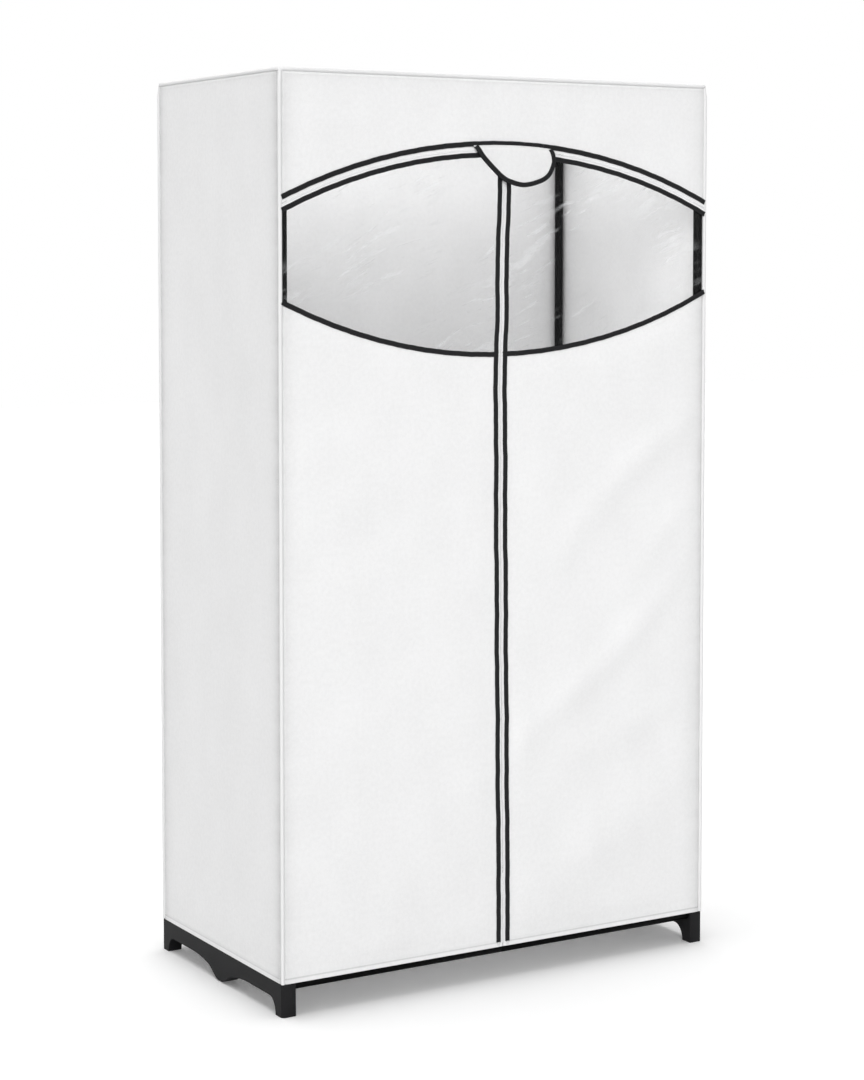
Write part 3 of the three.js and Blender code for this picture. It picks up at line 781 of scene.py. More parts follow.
class PathRecipe:
    """A Geometry Nodes tree that makes something along paths, and its named inputs."""

    name = "path"
    inputs: dict[str, str] = {}

    def __init__(self) -> None:
        """Builds the tree."""
        self.tree = bpy.data.node_groups.new(self.name, "GeometryNodeTree")
        face = self.tree.interface
        face.new_socket(name="Geometry", in_out="OUTPUT", socket_type="NodeSocketGeometry")
        for label, kind in ({"Path": "Geometry", "Finish": "Material"} | self.inputs).items():
            face.new_socket(name=label, in_out="INPUT", socket_type=f"NodeSocket{kind}")
        self.graph = Graph(self.tree)
        self.given = self.tree.nodes.new("NodeGroupInput")
        made = self.shape(self.graph.add("GeometryNodeMeshToCurve", {}, {0: self.wire("Path")}))
        plain = self.graph.add("GeometryNodeRealizeInstances", {}, {0: made})
        smooth = self.graph.add("GeometryNodeSetShadeSmooth", {}, {0: plain})
        dressed = self.graph.add("GeometryNodeSetMaterial", {}, {0: smooth, "Material": self.wire("Finish")})
        self.graph.add("NodeGroupOutput", {}, {"Geometry": dressed})

    def wire(self, label: str) -> Wire:
        """Returns the wire of a named input."""
        return Wire(self.graph, self.given.outputs[label])

    def shape(self, path: Wire) -> Wire:
        """Returns what the tree makes along a path."""
        return path

    def spaced(self, path: Wire, step: str) -> Wire:
        """Returns a path's points at an even step, which is a named input."""
        values = {0: path, "Length": self.wire(step)}
        return self.graph.add("GeometryNodeResampleCurve", {"mode": "LENGTH"}, values)

    def make(
        self, name: str, paths: Sequence[Array], finish: Finish, closed: bool = False, **sizes: float
    ) -> bpy.types.Object:
        """Runs the tree.

        Args:
            name: the new piece's name.
            paths: the points of each path.
            finish: the piece's finish.
            closed: whether each path joins its own start.
            sizes: the tree's inputs, in lower case.

        Returns:
            A plain mesh object.
        """
        mesh = bpy.data.meshes.new(name)
        edges, start = [], 0
        for path in paths:
            count = len(path)
            edges += [(start + i, start + i + 1) for i in range(count - 1)]
            edges += [(start + count - 1, start)] if closed else []
            start += count
        mesh.from_pydata(np.concatenate(paths).tolist(), edges, [])
        source = linked(name + "_path", mesh, finish)
        modifier = source.modifiers.new("recipe", "NODES")
        modifier.node_group = self.tree
        values = {"Finish": finish.material()} | {key.capitalize(): value for key, value in sizes.items()}
        for item in self.tree.interface.items_tree:
            if item.in_out == "INPUT" and item.name in values:
                modifier[item.identifier] = values[item.name]
        return baked(source, name, finish)


class BarRow(PathRecipe):
    """Small rounded bars at an even pitch: stitches along a seam, or the coil of a zip across it."""

    name = "row_of_bars"
    inputs = {"Pitch": "Float", "Length": "Float", "Radius": "Float", "Angle": "Float", "Loose": "Float"}
    seed = 7

    def shape(self, path: Wire) -> Wire:
        """Returns the bars, each a stretched ball turned to the path."""
        graph = self.graph
        round_form = {"Segments": 6, "Rings": 4, "Radius": self.wire("Radius")}
        ball = graph.add("GeometryNodeMeshUVSphere", {}, round_form)
        height = graph.part(graph.add("GeometryNodeInputPosition"), "Z")
        stretch = height.math("SIGN") * (self.wire("Length") * 0.5 - self.wire("Radius"))
        offset = graph.add("ShaderNodeCombineXYZ", {}, {"Z": stretch})
        bar = graph.add("GeometryNodeSetPosition", {}, {0: ball, "Offset": offset})
        chance = graph.add("FunctionNodeRandomValue", {}, {2: -1.0, 3: 1.0, "Seed": self.seed}, 1)
        angle = self.wire("Angle") + chance * self.wire("Loose")
        tangent = graph.add("GeometryNodeInputTangent")
        sideways = graph.vector("CROSS_PRODUCT", {0: (0.0, -1.0, 0.0), 1: tangent})
        ahead = graph.vector("SCALE", {0: tangent, "Scale": angle.math("COSINE")})
        across = graph.vector("SCALE", {0: sideways, "Scale": angle.math("SINE")})
        aim = graph.vector("ADD", {0: ahead, 1: across})
        turn = graph.add("FunctionNodeAlignRotationToVector", {"axis": "Z"}, {"Vector": aim})
        spots = {0: self.spaced(path, "Pitch"), "Instance": bar, "Rotation": turn}
        return graph.add("GeometryNodeInstanceOnPoints", {}, spots)


class Bead(PathRecipe):
    """A round bead of covered cord, a little thicker and thinner along its length."""

    name = "bead"
    inputs = {"Radius": "Float", "Step": "Float", "Puckers": "Float"}

    def shape(self, path: Wire) -> Wire:
        """Returns the bead."""
        graph = self.graph
        section = {"Resolution": 14, "Radius": self.wire("Radius")}
        circle = graph.add("GeometryNodeCurvePrimitiveCircle", {}, section)
        uneven = graph.noise(graph.add("GeometryNodeInputPosition"), 60.0) - 0.5
        scale = uneven * self.wire("Puckers") + 1.0
        swept = {0: self.spaced(path, "Step"), 1: circle, "Scale": scale, "Fill Caps": True}
        return graph.add("GeometryNodeCurveToMesh", {}, swept)


# Cloth


class SeamKind(Enum):
    """How an edge is sewn: where its puckers start, how high and wide they are, and where it is stitched."""

    PIPED = (0.004, 0.00032, 0.022, 0.0066)
    BOUND = (0.009, 0.00022, 0.02, 0.0)
    HEMMED = (0.0085, 0.0002, 0.02, 0.0066)


@dataclass(frozen=True)
class Seam:
    """A sewn edge of a panel, by the distance from it and the run along it."""

    kind: SeamKind
    distance: Callable[[Array, Array], Array]
    run: Callable[[Array, Array], Array]
    pitch: float = 0.021
    hem_proud: float = 0.0005
    hem_height: float = 0.0078
    valley: float = 0.00022
    groove: float = 0.0021
    groove_width: float = 0.0026
    # The tones and the width below set the painted shade along the seam: its strength beside piping, at the
    # hem's step, and how far it reaches.
    tone: float = 0.34
    hem_tone: float = 0.7
    allowance: float = 0.012

    def relief(self, a: Array, b: Array) -> Array:
        """Returns how far the cloth stands proud for this seam."""
        start, height, fade, stitched = self.kind.value
        away, run = self.distance(a, b), self.run(a, b)
        phase = run / self.pitch + 0.35 * np.sin(TURN * run / 0.13) + 0.2 * np.sin(TURN * run / 0.057)
        total = height * soft_step(away, start, start + 0.004) * np.exp(-away / fade) * np.sin(TURN * phase)
        if stitched:
            total = total - self.valley * np.exp(-(((away - stitched) / 0.0013) ** 2))
        if self.kind is SeamKind.PIPED:
            total = total - self.groove * np.exp(-((np.maximum(away - 0.0012, 0.0) / self.groove_width) ** 2))
        if self.kind is SeamKind.HEMMED:
            total = total + self.hem_proud * (1.0 - soft_step(away, self.hem_height, self.hem_height + 0.001))
        return total

    def turned_in(self, a: Array, b: Array) -> Array:
        """Returns how much painted shade darkens the cloth: a thin painted shade line along the hem's step,
        or a band beside a piped seam.
        """
        away, run = self.distance(a, b), self.run(a, b)
        if self.kind is SeamKind.HEMMED:
            return self.hem_tone * np.exp(-(((away - self.hem_height - 0.0006) / 0.0012) ** 2))
        if self.kind is SeamKind.BOUND:
            return np.zeros_like(a)
        uneven = 0.9 + 0.1 * np.sin(TURN * (run / 0.19 + 0.4 * np.sin(TURN * run / 0.083)))
        return self.tone * uneven * np.exp(-np.maximum(away - 0.003, 0.0) / self.allowance)


@dataclass(frozen=True)
class Fold:
    """One soft ridge, or a dip where its height is negative: its middle, turn in degrees, and half sizes."""

    a: float
    b: float
    turn: float
    length: float
    width: float
    height: float
    bend: float = 0.0

    def relief(self, a: Array, b: Array) -> Array:
        """Returns how far the cloth stands proud for this fold."""
        cosine, sine = math.cos(math.radians(self.turn)), math.sin(math.radians(self.turn))
        along = (a - self.a) * cosine + (b - self.b) * sine
        across = (b - self.b) * cosine - (a - self.a) * sine - self.bend * along**2
        return self.height * np.exp(-((along / self.length) ** 2) - (across / self.width) ** 2)


@dataclass
class ClothPanel:
    """One panel of the cover, taut between its seams."""

    name: str
    plane: Plane
    level: float
    span: Span
    grid: tuple[Array, Array]
    seams: Sequence[Seam]
    folds: Sequence[Fold] = ()
    bulge: float = 0.0
    slack: float = 0.0004
    seed: int = 1
    thickness: float = 0.0012
    finish: Finish = CLOTH

    def unevenness(self, a: Array, b: Array) -> Array:
        """Returns a slight smooth unevenness, the same on each run."""
        chance = np.random.default_rng(self.seed)
        total = np.zeros_like(a)
        for _ in range(9):
            turn, length, phase = chance.uniform(0, TURN), chance.uniform(0.09, 0.4), chance.uniform(0, TURN)
            total = total + np.sin(TURN * (a * math.cos(turn) + b * math.sin(turn)) / length + phase)
        return total / 3.0

    def relief(self, a: Array, b: Array) -> Array:
        """Returns how far the cloth stands proud of its plane."""
        calm = np.ones_like(a)
        for seam in self.seams:
            calm = calm * soft_step(seam.distance(a, b), 0.006, 0.045)
        total = self.bulge + self.slack * self.unevenness(a, b)
        for fold in self.folds:
            total = total + fold.relief(a, b)
        return total * calm + sum(seam.relief(a, b) for seam in self.seams)

    def surface(self, a: Array, b: Array, lift: float = 0.0) -> Array:
        """Returns points on the outside of the cloth, or a lift above it."""
        return self.plane.place(a, b, self.level + self.relief(a, b) + lift)

    def thread_line(self, a: Array | float, b: Array | float) -> Array:
        """Returns a line of points just proud of the cloth, at one level of a or of b."""
        return self.surface(*np.broadcast_arrays(a, b), STITCH_LIFT)

    def build(self) -> bpy.types.Object:
        """Makes the panel."""
        a, b = self.span(*np.meshgrid(*self.grid, indexing="xy"))
        back = self.surface(a, b, -self.thickness)
        shell = sheet_shell(self.surface(a, b), back, np.stack([a, b], axis=-1))
        piece = solid(self.name, [shell], self.finish)
        write_painted_shade(piece, sum(seam.turned_in(a, b) for seam in self.seams))
        return piece


HEM_MARGINS = (0.0, 0.0015, 0.003, 0.0044, 0.0053, 0.0062, 0.0071, 0.008, 0.0095)
PIPED_MARGINS = (*HEM_MARGINS, 0.012, 0.016, 0.022, 0.03, 0.042)
BAND_STEP = 0.006


def edge_at(kind: SeamKind, level: float, upright: bool, **more: float) -> Seam:
    """Returns a straight seam at a level of a, or of b where it isn't upright."""
    if upright:
        return Seam(kind, lambda a, b: np.abs(a - level), lambda a, b: b, **more)
    return Seam(kind, lambda a, b: np.abs(b - level), lambda a, b: a, **more)


@dataclass
class Cover:
    """The parts of the cover that stay in place: back, sides, top, header, piping and header binding."""

    layout: Layout
    rows: BarRow
    bead: Bead
    body: str = FIXED_BODY
    # These tones set how strongly painted shade darkens the cloth beside the corner piping and under the rim.
    corner_tone: float = 0.85
    rim_tone: float = 0.12
    rim_groove: float = 0.0012
    bead_radius: float = 0.0036
    bead_proud: float = 0.0005
    bead_step: float = 0.006
    bead_puckers: float = 0.16
    rim_corner: float = 0.007
    stitch_inset: float = 0.0062
    hem_stitch: float = 0.0066
    stitch_pitch: float = 0.0044
    stitch_length: float = 0.0034
    stitch_radius: float = 0.00028
    stitch_loose: float = 0.05
    over_flap: float = 0.0011
    flap_start: tuple[float, float] = (-0.082, -0.06)
    flap_end: tuple[float, float] = (0.1, 0.12)
    corner_bend: float = 0.3
    corner_rise: tuple[float, float] = (0.02, 0.001)

    def top_edge(self) -> Seam:
        """Returns the shallow seam under the rim."""
        return edge_at(
            SeamKind.PIPED, self.layout.panel_top, False, tone=self.rim_tone, groove=self.rim_groove
        )

    def box_panel(self, name: str, plane: Plane, level: float, half: float, **more: Any) -> ClothPanel:
        """Returns a hanging rectangular panel between two upright seams."""
        low, high = self.layout.hem_z, self.layout.panel_top
        seams = [edge_at(SeamKind.PIPED, sign * half, True, tone=self.corner_tone) for sign in (-1, 1)]
        seams += [self.top_edge(), edge_at(SeamKind.HEMMED, low, False)]
        grid = (stations(2 * half, 0.014, PIPED_MARGINS), stations(high - low, BAND_STEP, HEM_MARGINS))

        def span(u: Array, v: Array) -> tuple[Array, Array]:
            """Returns the place on the cloth at shares across it and up it."""
            return (2 * u - 1) * half, low + v * (high - low)

        return ClothPanel(name, plane, level, span, grid, seams, **more)

    def sides(self) -> dict[str, ClothPanel]:
        """Returns the back and the two sides."""
        place = self.layout
        back_folds = (
            Fold(-0.2, 0.9, 78, 0.5, 0.05, 0.0012),
            Fold(0.16, 1.1, 96, 0.45, 0.06, 0.001),
            Fold(0.3, 0.5, 70, 0.3, 0.05, -0.0009),
        )
        left_folds = (
            Fold(0.06, 1.12, 62, 0.26, 0.09, -0.004),
            Fold(-0.1, 0.6, 86, 0.4, 0.05, 0.0016),
            Fold(0.12, 0.5, 94, 0.3, 0.04, 0.0012),
        )
        right_folds = (
            Fold(-0.04, 0.8, 84, 0.5, 0.05, 0.0009),
            Fold(0.11, 1.2, 100, 0.3, 0.035, -0.0007),
        )
        table = {
            "back": (Plane.BACK, place.face, place.seam_x, back_folds, 0.0012, 11),
            "left": (Plane.LEFT, place.side_face, place.seam_y, left_folds, 0.001, 12),
            "right": (Plane.RIGHT, place.side_face, place.seam_y, right_folds, 0.001, 13),
        }
        return {
            label: self.box_panel(
                f"cover_{label}_cloth", plane, level, half, folds=folds, bulge=bulge, seed=seed
            )
            for label, (plane, level, half, folds, bulge, seed) in table.items()
        }

    def top(self) -> ClothPanel:
        """Returns the top, which sags a little inside its rim."""
        x, y = self.layout.seam_x, self.layout.seam_y
        seams = [edge_at(SeamKind.PIPED, sign * x, True) for sign in (-1, 1)]
        seams += [edge_at(SeamKind.PIPED, sign * y, False) for sign in (-1, 1)]
        grid = (stations(2 * x, 0.011, PIPED_MARGINS), stations(2 * y, 0.01, PIPED_MARGINS))
        folds = (Fold(0.1, 0.02, 12, 0.3, 0.05, -0.001), Fold(-0.2, -0.05, -20, 0.22, 0.04, 0.001))

        def span(u: Array, v: Array) -> tuple[Array, Array]:
            """Returns the place on the cloth at shares across it and up it."""
            return (2 * u - 1) * x, (2 * v - 1) * y

        level = self.layout.top_face
        return ClothPanel(
            "cover_top_cloth", Plane.TOP, level, span, grid, seams, folds, bulge=-0.0025, seed=14
        )

    def header(self) -> ClothPanel:
        """Returns the header over the arch."""
        place = self.layout
        foot = place.header_radius + place.tuck
        seams = [edge_at(SeamKind.PIPED, sign * place.seam_x, True) for sign in (-1, 1)]
        seams.append(self.top_edge())
        seams.append(Seam(SeamKind.BOUND, lambda a, b: place.from_centre(a, b) - foot, lambda a, b: a, 0.027))
        grid = (stations(2 * place.seam_x, 0.006, PIPED_MARGINS), stations(0.16, 0.005, HEM_MARGINS))
        folds = (
            Fold(-0.3, 1.54, 8, 0.09, 0.018, 0.0009),
            Fold(0.28, 1.55, -12, 0.12, 0.022, 0.0008),
            Fold(0.02, 1.56, 86, 0.05, 0.03, 0.0012),
            Fold(0.13, 1.56, 94, 0.05, 0.028, 0.001),
        )

        def span(u: Array, v: Array) -> tuple[Array, Array]:
            """Returns the place on the cloth at shares across it and up it."""
            a = (2 * u - 1) * place.seam_x
            low = place.arch(foot, a)
            return a, low + v * (place.panel_top - low)

        return ClothPanel(
            "cover_header_cloth", Plane.FRONT, place.face, span, grid, seams, folds, bulge=0.0004, seed=15
        )

    def piping(self) -> None:
        """Makes the rim round the top and the upright piping at the corners."""
        place = self.layout
        reach = self.bead_radius - self.bead_proud
        x, y, z = place.half_width - reach, place.half_depth - reach, place.height - reach
        turns = np.linspace(0, math.pi / 2, 7)
        corners = []
        for quarter, (sign_x, sign_y) in enumerate(((1, 1), (-1, 1), (-1, -1), (1, -1))):
            angle = turns + quarter * math.pi / 2
            corner = (
                sign_x * (x - self.rim_corner) + self.rim_corner * np.cos(angle),
                sign_y * (y - self.rim_corner) + self.rim_corner * np.sin(angle),
                np.full_like(angle, z),
            )
            corners.append(np.stack(corner, axis=1))
        sizes = {"radius": self.bead_radius, "step": self.bead_step, "puckers": self.bead_puckers}
        self.rim = self.bead.make("rim_piping_bead", [np.concatenate(corners)], PIPING, closed=True, **sizes)
        settle(self.rim, self.body, PIPING)
        self.corner_beads = {}
        bend, (lower, upper) = self.corner_bend * self.rim_corner, self.corner_rise
        stops = ((0.0, place.hem_z), (0.0, z - lower), (bend, z - upper))
        for end, sign_y in zip(ENDS, (-1, 1)):
            for side in Side:
                upright = [(side.value * (x - inset), sign_y * (y - inset), level) for inset, level in stops]
                label = f"{end}_{side.label}"
                bead = self.bead.make(f"piping_{label}_bead", [np.array(upright)], PIPING, **sizes)
                self.corner_beads[label] = settle(bead, self.body, PIPING, f"piping_{label}")

    def binding(self) -> None:
        """Makes the black tape along the arch, further out over the flap's seam, and its stitches."""
        place = self.layout
        x = np.linspace(-place.seam_x, place.seam_x, 190)
        middle = place.header_radius + place.binding_width / 2
        share = soft_step(x, *self.flap_start) * (1.0 - soft_step(x, *self.flap_end))
        front = place.binding_front + self.over_flap * share
        tape = Tape(place.arch_line(middle, x), place.binding_width, place.binding_back, front)
        piece = solid("header_binding_tape", [tape.shell()], BINDING)
        self.header_tape = settle(piece, self.body, BINDING, "header_binding")
        stitches = self.sew("header_binding_stitches", tape.stitch_paths(), BLACK_THREAD)
        settle(stitches, self.body, BLACK_THREAD)

    def sew(self, name: str, paths: Sequence[Array], thread: Finish) -> bpy.types.Object:
        """Makes rows of stitches."""
        sizes = {"pitch": self.stitch_pitch, "length": self.stitch_length, "radius": self.stitch_radius}
        return self.rows.make(name, paths, thread, **sizes, angle=0.0, loose=self.stitch_loose)

    def stitch_paths(self, panel: ClothPanel, half: float, low: float | None = None) -> list[Array]:
        """Returns the rows of stitches inside a panel's piping, and along its hem."""
        place = self.layout
        bottom = place.hem_z if low is None else low
        top = place.panel_top - self.stitch_inset
        reach = half - self.stitch_inset
        a, b = np.arange(-reach, reach, STITCH_STEP), np.arange(bottom + HEM_GAP, top, STITCH_STEP)
        levels = [top] if low is not None else [top, place.hem_z + self.hem_stitch]
        uprights = [panel.thread_line(sign * reach, b) for sign in (-1, 1)]
        return uprights + [panel.thread_line(a, level) for level in levels]

    def build(self) -> None:
        """Makes every fixed part of the cover."""
        place = self.layout
        self.piping()
        paths = []
        for label, panel in self.sides().items():
            piece = settle(panel.build(), self.body, CLOTH, f"cover_{label}_panel")
            if label == "back":
                half, rails = place.seam_x, [f"top_rail_back_{side.label}" for side in Side]
            else:
                half, rails = place.seam_y, [f"side_rail_{label}_{end}" for end in ENDS]
            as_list(rails)
            paths += self.stitch_paths(panel, half)
        top = self.top()
        piece = settle(top.build(), self.body, CLOTH, "cover_top_panel")
        rails = [f"top_rail_{end}_{side.label}" for end in ENDS for side in Side]
        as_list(rails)
        ring_x, ring_y = place.seam_x - self.stitch_inset, place.seam_y - self.stitch_inset
        for sign in (-1, 1):
            paths.append(top.thread_line(np.arange(-ring_x, ring_x, STITCH_STEP), sign * ring_y))
            paths.append(top.thread_line(sign * ring_x, np.arange(-ring_y, ring_y, STITCH_STEP)))
        header = self.header()
        self.binding()
        piece = settle(header.build(), self.body, CLOTH, "cover_header")
        drop = place.panel_top - place.arch_at(place.header_radius, place.seam_x)
        self.header_area()
        foot = place.arch_at(place.arch_radius, place.seam_x - self.stitch_inset)
        paths += self.stitch_paths(header, place.seam_x, foot)
        settle(self.sew("cover_stitches", paths, WHITE_THREAD), self.body, WHITE_THREAD)

    def header_area(self) -> float:
        """Returns the area of the header's cloth."""
        place = self.layout
        x = np.linspace(-place.seam_x, place.seam_x, 200)
        return float(np.trapz(place.panel_top - place.arch(place.header_radius + place.tuck, x), x))


@dataclass
class Tape:
    """A flat tape sewn along a line of the front, with rounded edges and a stitched groove near each."""

    path: Array
    width: float
    back: float
    front: Array | float
    round_edge: float = 0.0004
    groove: float = 0.00016
    inset: float = 0.0014
    flutter: float = 0.00018

    def frames(self) -> tuple[Array, Array, Array]:
        """Returns the run along the tape, its sideways directions, and its front's level at each point."""
        run = run_along(self.path)
        return run, sideways_of(self.path), np.broadcast_to(np.asarray(self.front, float), run.shape)

    def section(self) -> tuple[Array, Array]:
        """Returns the places across the tape, and how far below its front each lies."""
        half, soft, low = self.width / 2, self.round_edge, self.inset
        rise = [
            (-half, soft * 1.2),
            (-half + soft * 0.3, soft * 0.35),
            (-half + soft, 0.0),
            (-half + low - 0.0005, 0.0),
            (-half + low, self.groove),
            (-half + low + 0.0005, 0.0),
            (-half * 0.3, -0.00004),
        ]
        rise += [(-across, depth) for across, depth in rise[::-1]]
        return np.array([across for across, _ in rise]), np.array([depth for _, depth in rise])

    def shell(self) -> Shell:
        """Returns the tape's closed shell."""
        run, sideways, front = self.frames()
        across, depth = self.section()
        wander = self.flutter * (np.sin(TURN * run / 0.047) + 0.6 * np.sin(TURN * run / 0.019 + 2.0))
        shifted = across[None, :] + wander[:, None]
        flat = self.path[:, None, :] + sideways[:, None, :] * shifted[..., None]
        outer = on_front(flat, front[:, None] - depth[None, :])
        inner = outer[:, [-1, 0], :].copy()
        inner[..., 1] = -self.back
        shell = ring_shell(np.concatenate([outer, inner], axis=1))
        shell.uv = flat_places(run, np.concatenate([across, across[[-1, 0]]]))
        return shell

    def stitch_paths(self) -> list[Array]:
        """Returns a line of points along each groove."""
        _, sideways, front = self.frames()
        lines = []
        for sign in (-1, 1):
            flat = self.path + sideways * sign * (self.width / 2 - self.inset)
            lines.append(on_front(flat, front - self.groove + STITCH_LIFT))
        return lines


# Doors


@dataclass
class Door:
    """One door: its cloth panel, window, bindings, zip tapes and coils, all moving together."""

    side: Side
    layout: Layout
    cover: Cover
    window_thickness: float = 0.0005
    over: float = 0.00025
    tack_low: float = 0.0022
    tack_high: float = 0.0078
    tack_proud: float = 0.0002
    tack_pitch: float = 0.0006
    tack_length: float = 0.006
    tack_radius: float = 0.00032
    tack_loose: float = 0.04

    @property
    def body(self) -> str:
        """The body that the door moves with."""
        return f"{self.side.label}_door"

    def across(self, u: Array, inner: float) -> Array:
        """Returns x from an inner distance out to the corner seam."""
        return self.side.value * (inner + u * (self.layout.seam_x - inner))

    def panel(self) -> ClothPanel:
        """Returns the cloth below the window."""
        place, sign = self.layout, self.side.value
        inner = place.middle_half + place.tuck
        top = place.tuck

        def span(u: Array, v: Array) -> tuple[Array, Array]:
            """Returns the place on the cloth at shares across it and up it."""
            x = self.across(u, inner)
            z = place.hem_z + v * (place.under(top, x) - place.hem_z)
            return place.swayed(x, z), z

        def from_zip(a: Array, b: Array) -> Array:
            """Returns how far points lie from the seam at the zip."""
            return np.abs(a - place.swayed(np.full_like(b, sign * inner), b))

        def from_window(a: Array, b: Array) -> Array:
            """Returns how far points lie from the seam at the window."""
            return place.below_window(a, b) - top

        # The corner seam's tone is painted shade, stronger on the right door.
        seams = [
            edge_at(SeamKind.PIPED, sign * place.seam_x, True, tone=0.46 + 0.14 * sign),
            Seam(SeamKind.BOUND, from_zip, lambda a, b: b, 0.031),
            Seam(SeamKind.BOUND, from_window, lambda a, b: a, 0.026),
            edge_at(SeamKind.HEMMED, place.hem_z, False),
        ]
        folds = {
            Side.LEFT: (
                Fold(-0.12, 0.62, 48, 0.2, 0.06, 0.0008),
                Fold(-0.3, 0.9, 84, 0.3, 0.05, 0.0006),
                Fold(-0.34, 0.42, 8, 0.16, 0.04, 0.0005),
                Fold(-0.2, 0.3, 20, 0.2, 0.06, 0.0006),
            ),
            Side.RIGHT: (
                Fold(0.29, 0.925, 37, 0.17, 0.03, 0.0028, -0.5),
                Fold(0.15, 0.8, 74, 0.09, 0.028, 0.0016),
                Fold(0.366, 0.802, 48, 0.08, 0.026, 0.0016),
                Fold(0.226, 0.563, 38, 0.27, 0.03, 0.003, 0.37),
                Fold(0.3, 0.44, 22, 0.15, 0.03, 0.0016),
                Fold(0.24, 0.24, 28, 0.26, 0.06, 0.003),
                Fold(0.12, 0.95, 78, 0.2, 0.05, 0.0012),
            ),
        }
        grid = (
            stations(place.seam_x - inner, 0.009, PIPED_MARGINS),
            stations(1.05, BAND_STEP, HEM_MARGINS),
        )
        name, more = f"door_{self.side.label}_cloth", {"bulge": 0.0012, "slack": 0.00045, "seed": 21 + sign}
        return ClothPanel(name, Plane.FRONT, place.face, span, grid, seams, folds[self.side], **more)

    def window(self) -> ClothPanel:
        """Returns the clear window."""
        place = self.layout
        inner = place.middle_half + place.tuck

        def span(u: Array, v: Array) -> tuple[Array, Array]:
            """Returns the place on the cloth at shares across it and up it."""
            x = self.across(u, inner)
            low, high = place.under(-place.tuck, x), place.arch(place.door_radius - place.tuck, x)
            z = low + v * (high - low)
            return place.swayed(x, z), z

        def from_low(a: Array, b: Array) -> Array:
            """Returns how far points lie above the window's lower edge."""
            return -place.below_window(a, b)

        def from_arch(a: Array, b: Array) -> Array:
            """Returns how far points lie under the door's arch."""
            return place.door_radius - place.from_centre(a, b)

        seams = [
            edge_at(SeamKind.BOUND, self.side.value * place.seam_x, True),
            Seam(SeamKind.BOUND, from_low, lambda a, b: a, 0.06),
            Seam(SeamKind.BOUND, from_arch, lambda a, b: a, 0.06),
        ]
        folds = (
            Fold(self.side.value * 0.14, 1.36, 28, 0.1, 0.02, 0.0009),
            Fold(self.side.value * 0.2, 1.3, 24, 0.12, 0.018, -0.0009),
            Fold(self.side.value * 0.27, 1.27, 33, 0.1, 0.02, 0.0009),
        )
        return ClothPanel(
            f"door_{self.side.label}_vinyl",
            Plane.FRONT,
            place.face - (place.cloth - self.window_thickness) / 2,
            span,
            (stations(place.seam_x - inner, 0.007), stations(0.3, 0.007)),
            seams,
            folds,
            slack=0.0007,
            seed=31,
            thickness=self.window_thickness,
            finish=VINYL,
        )

    def tapes(self) -> list[Tape]:
        """Returns the black tapes: over the window, under it, and down the zip across both."""
        place, sign = self.layout, self.side.value
        x = sign * np.linspace(place.middle_half, place.seam_x, 100)
        half = place.binding_width / 2
        front = place.binding_front - self.over
        z = np.arange(place.hem_z + place.binding_lift, place.arch_at(place.door_radius), BAND_STEP)
        strip = np.full_like(z, sign * (place.middle_half + place.middle_binding / 2))
        lines = (
            (x, place.arch(place.door_radius - half, x), place.binding_width, front),
            (x, place.under(half, x), place.binding_width, front),
            (strip, z, place.middle_binding, place.binding_front),
        )
        return [
            Tape(place.swayed_line(a, b), width, place.binding_back, level) for a, b, width, level in lines
        ]

    def build(self) -> bpy.types.Object:
        """Makes the door, and returns its cloth."""
        place, label = self.layout, self.side.label
        panel, window = self.panel(), self.window()
        tapes = self.tapes()
        binding = solid(f"door_{label}_binding_tape", [tape.shell() for tape in tapes], BINDING)
        settle(binding, self.body, BINDING, f"door_{label}_binding")
        lines = [line for tape in tapes for line in tape.stitch_paths()]
        stitches = self.cover.sew(f"door_{label}_binding_stitches", lines, BLACK_THREAD)
        settle(stitches, self.body, BLACK_THREAD)
        cloth = settle(panel.build(), self.body, CLOTH, f"door_{label}_panel")
        run = np.linspace(place.middle_half + place.tuck, place.seam_x, 200)
        x = self.side.value * run
        heights = place.under(place.tuck, x) - place.hem_z
        clear = settle(window.build(), self.body, VINYL, f"door_{label}_window")
        low, high = place.under(-place.tuck, x), place.arch(place.door_radius - place.tuck, x)
        float(high.max() - low.min())
        float(np.trapz(high - low, run))
        paths = self.stitch_paths(panel)
        settle(self.cover.sew(f"door_{label}_stitches", paths, WHITE_THREAD), self.body, WHITE_THREAD)
        settle(self.tack(panel), self.body, WHITE_THREAD)
        return cloth

    def tack(self, panel: ClothPanel) -> bpy.types.Object:
        """Makes the close bar of thread that ends the middle binding above the hem."""
        place = self.layout
        z = place.hem_z + np.linspace(self.tack_low, self.tack_high, 5)
        x = np.full_like(z, self.side.value * (place.middle_half + place.middle_binding / 2))
        path = panel.surface(place.swayed(x, z), z, self.tack_proud)
        sizes = {"pitch": self.tack_pitch, "length": self.tack_length, "radius": self.tack_radius}
        return self.cover.rows.make(
            f"door_{self.side.label}_tack",
            [path],
            WHITE_THREAD,
            **sizes,
            angle=math.pi / 2,
            loose=self.tack_loose,
        )

    def stitch_paths(self, panel: ClothPanel) -> list[Array]:
        """Returns the rows of stitches along the corner seam and the hem."""
        place, sign = self.layout, self.side.value
        reach = place.seam_x - self.cover.stitch_inset
        top = float(place.under(place.binding_width, np.array(sign * reach)))
        b = np.arange(place.hem_z + HEM_GAP, top, STITCH_STEP)
        a = sign * np.arange(place.middle_half + place.middle_binding, reach, STITCH_STEP)
        return [
            panel.thread_line(sign * reach, b),
            panel.thread_line(a, place.hem_z + self.cover.hem_stitch),
        ]


# Zips


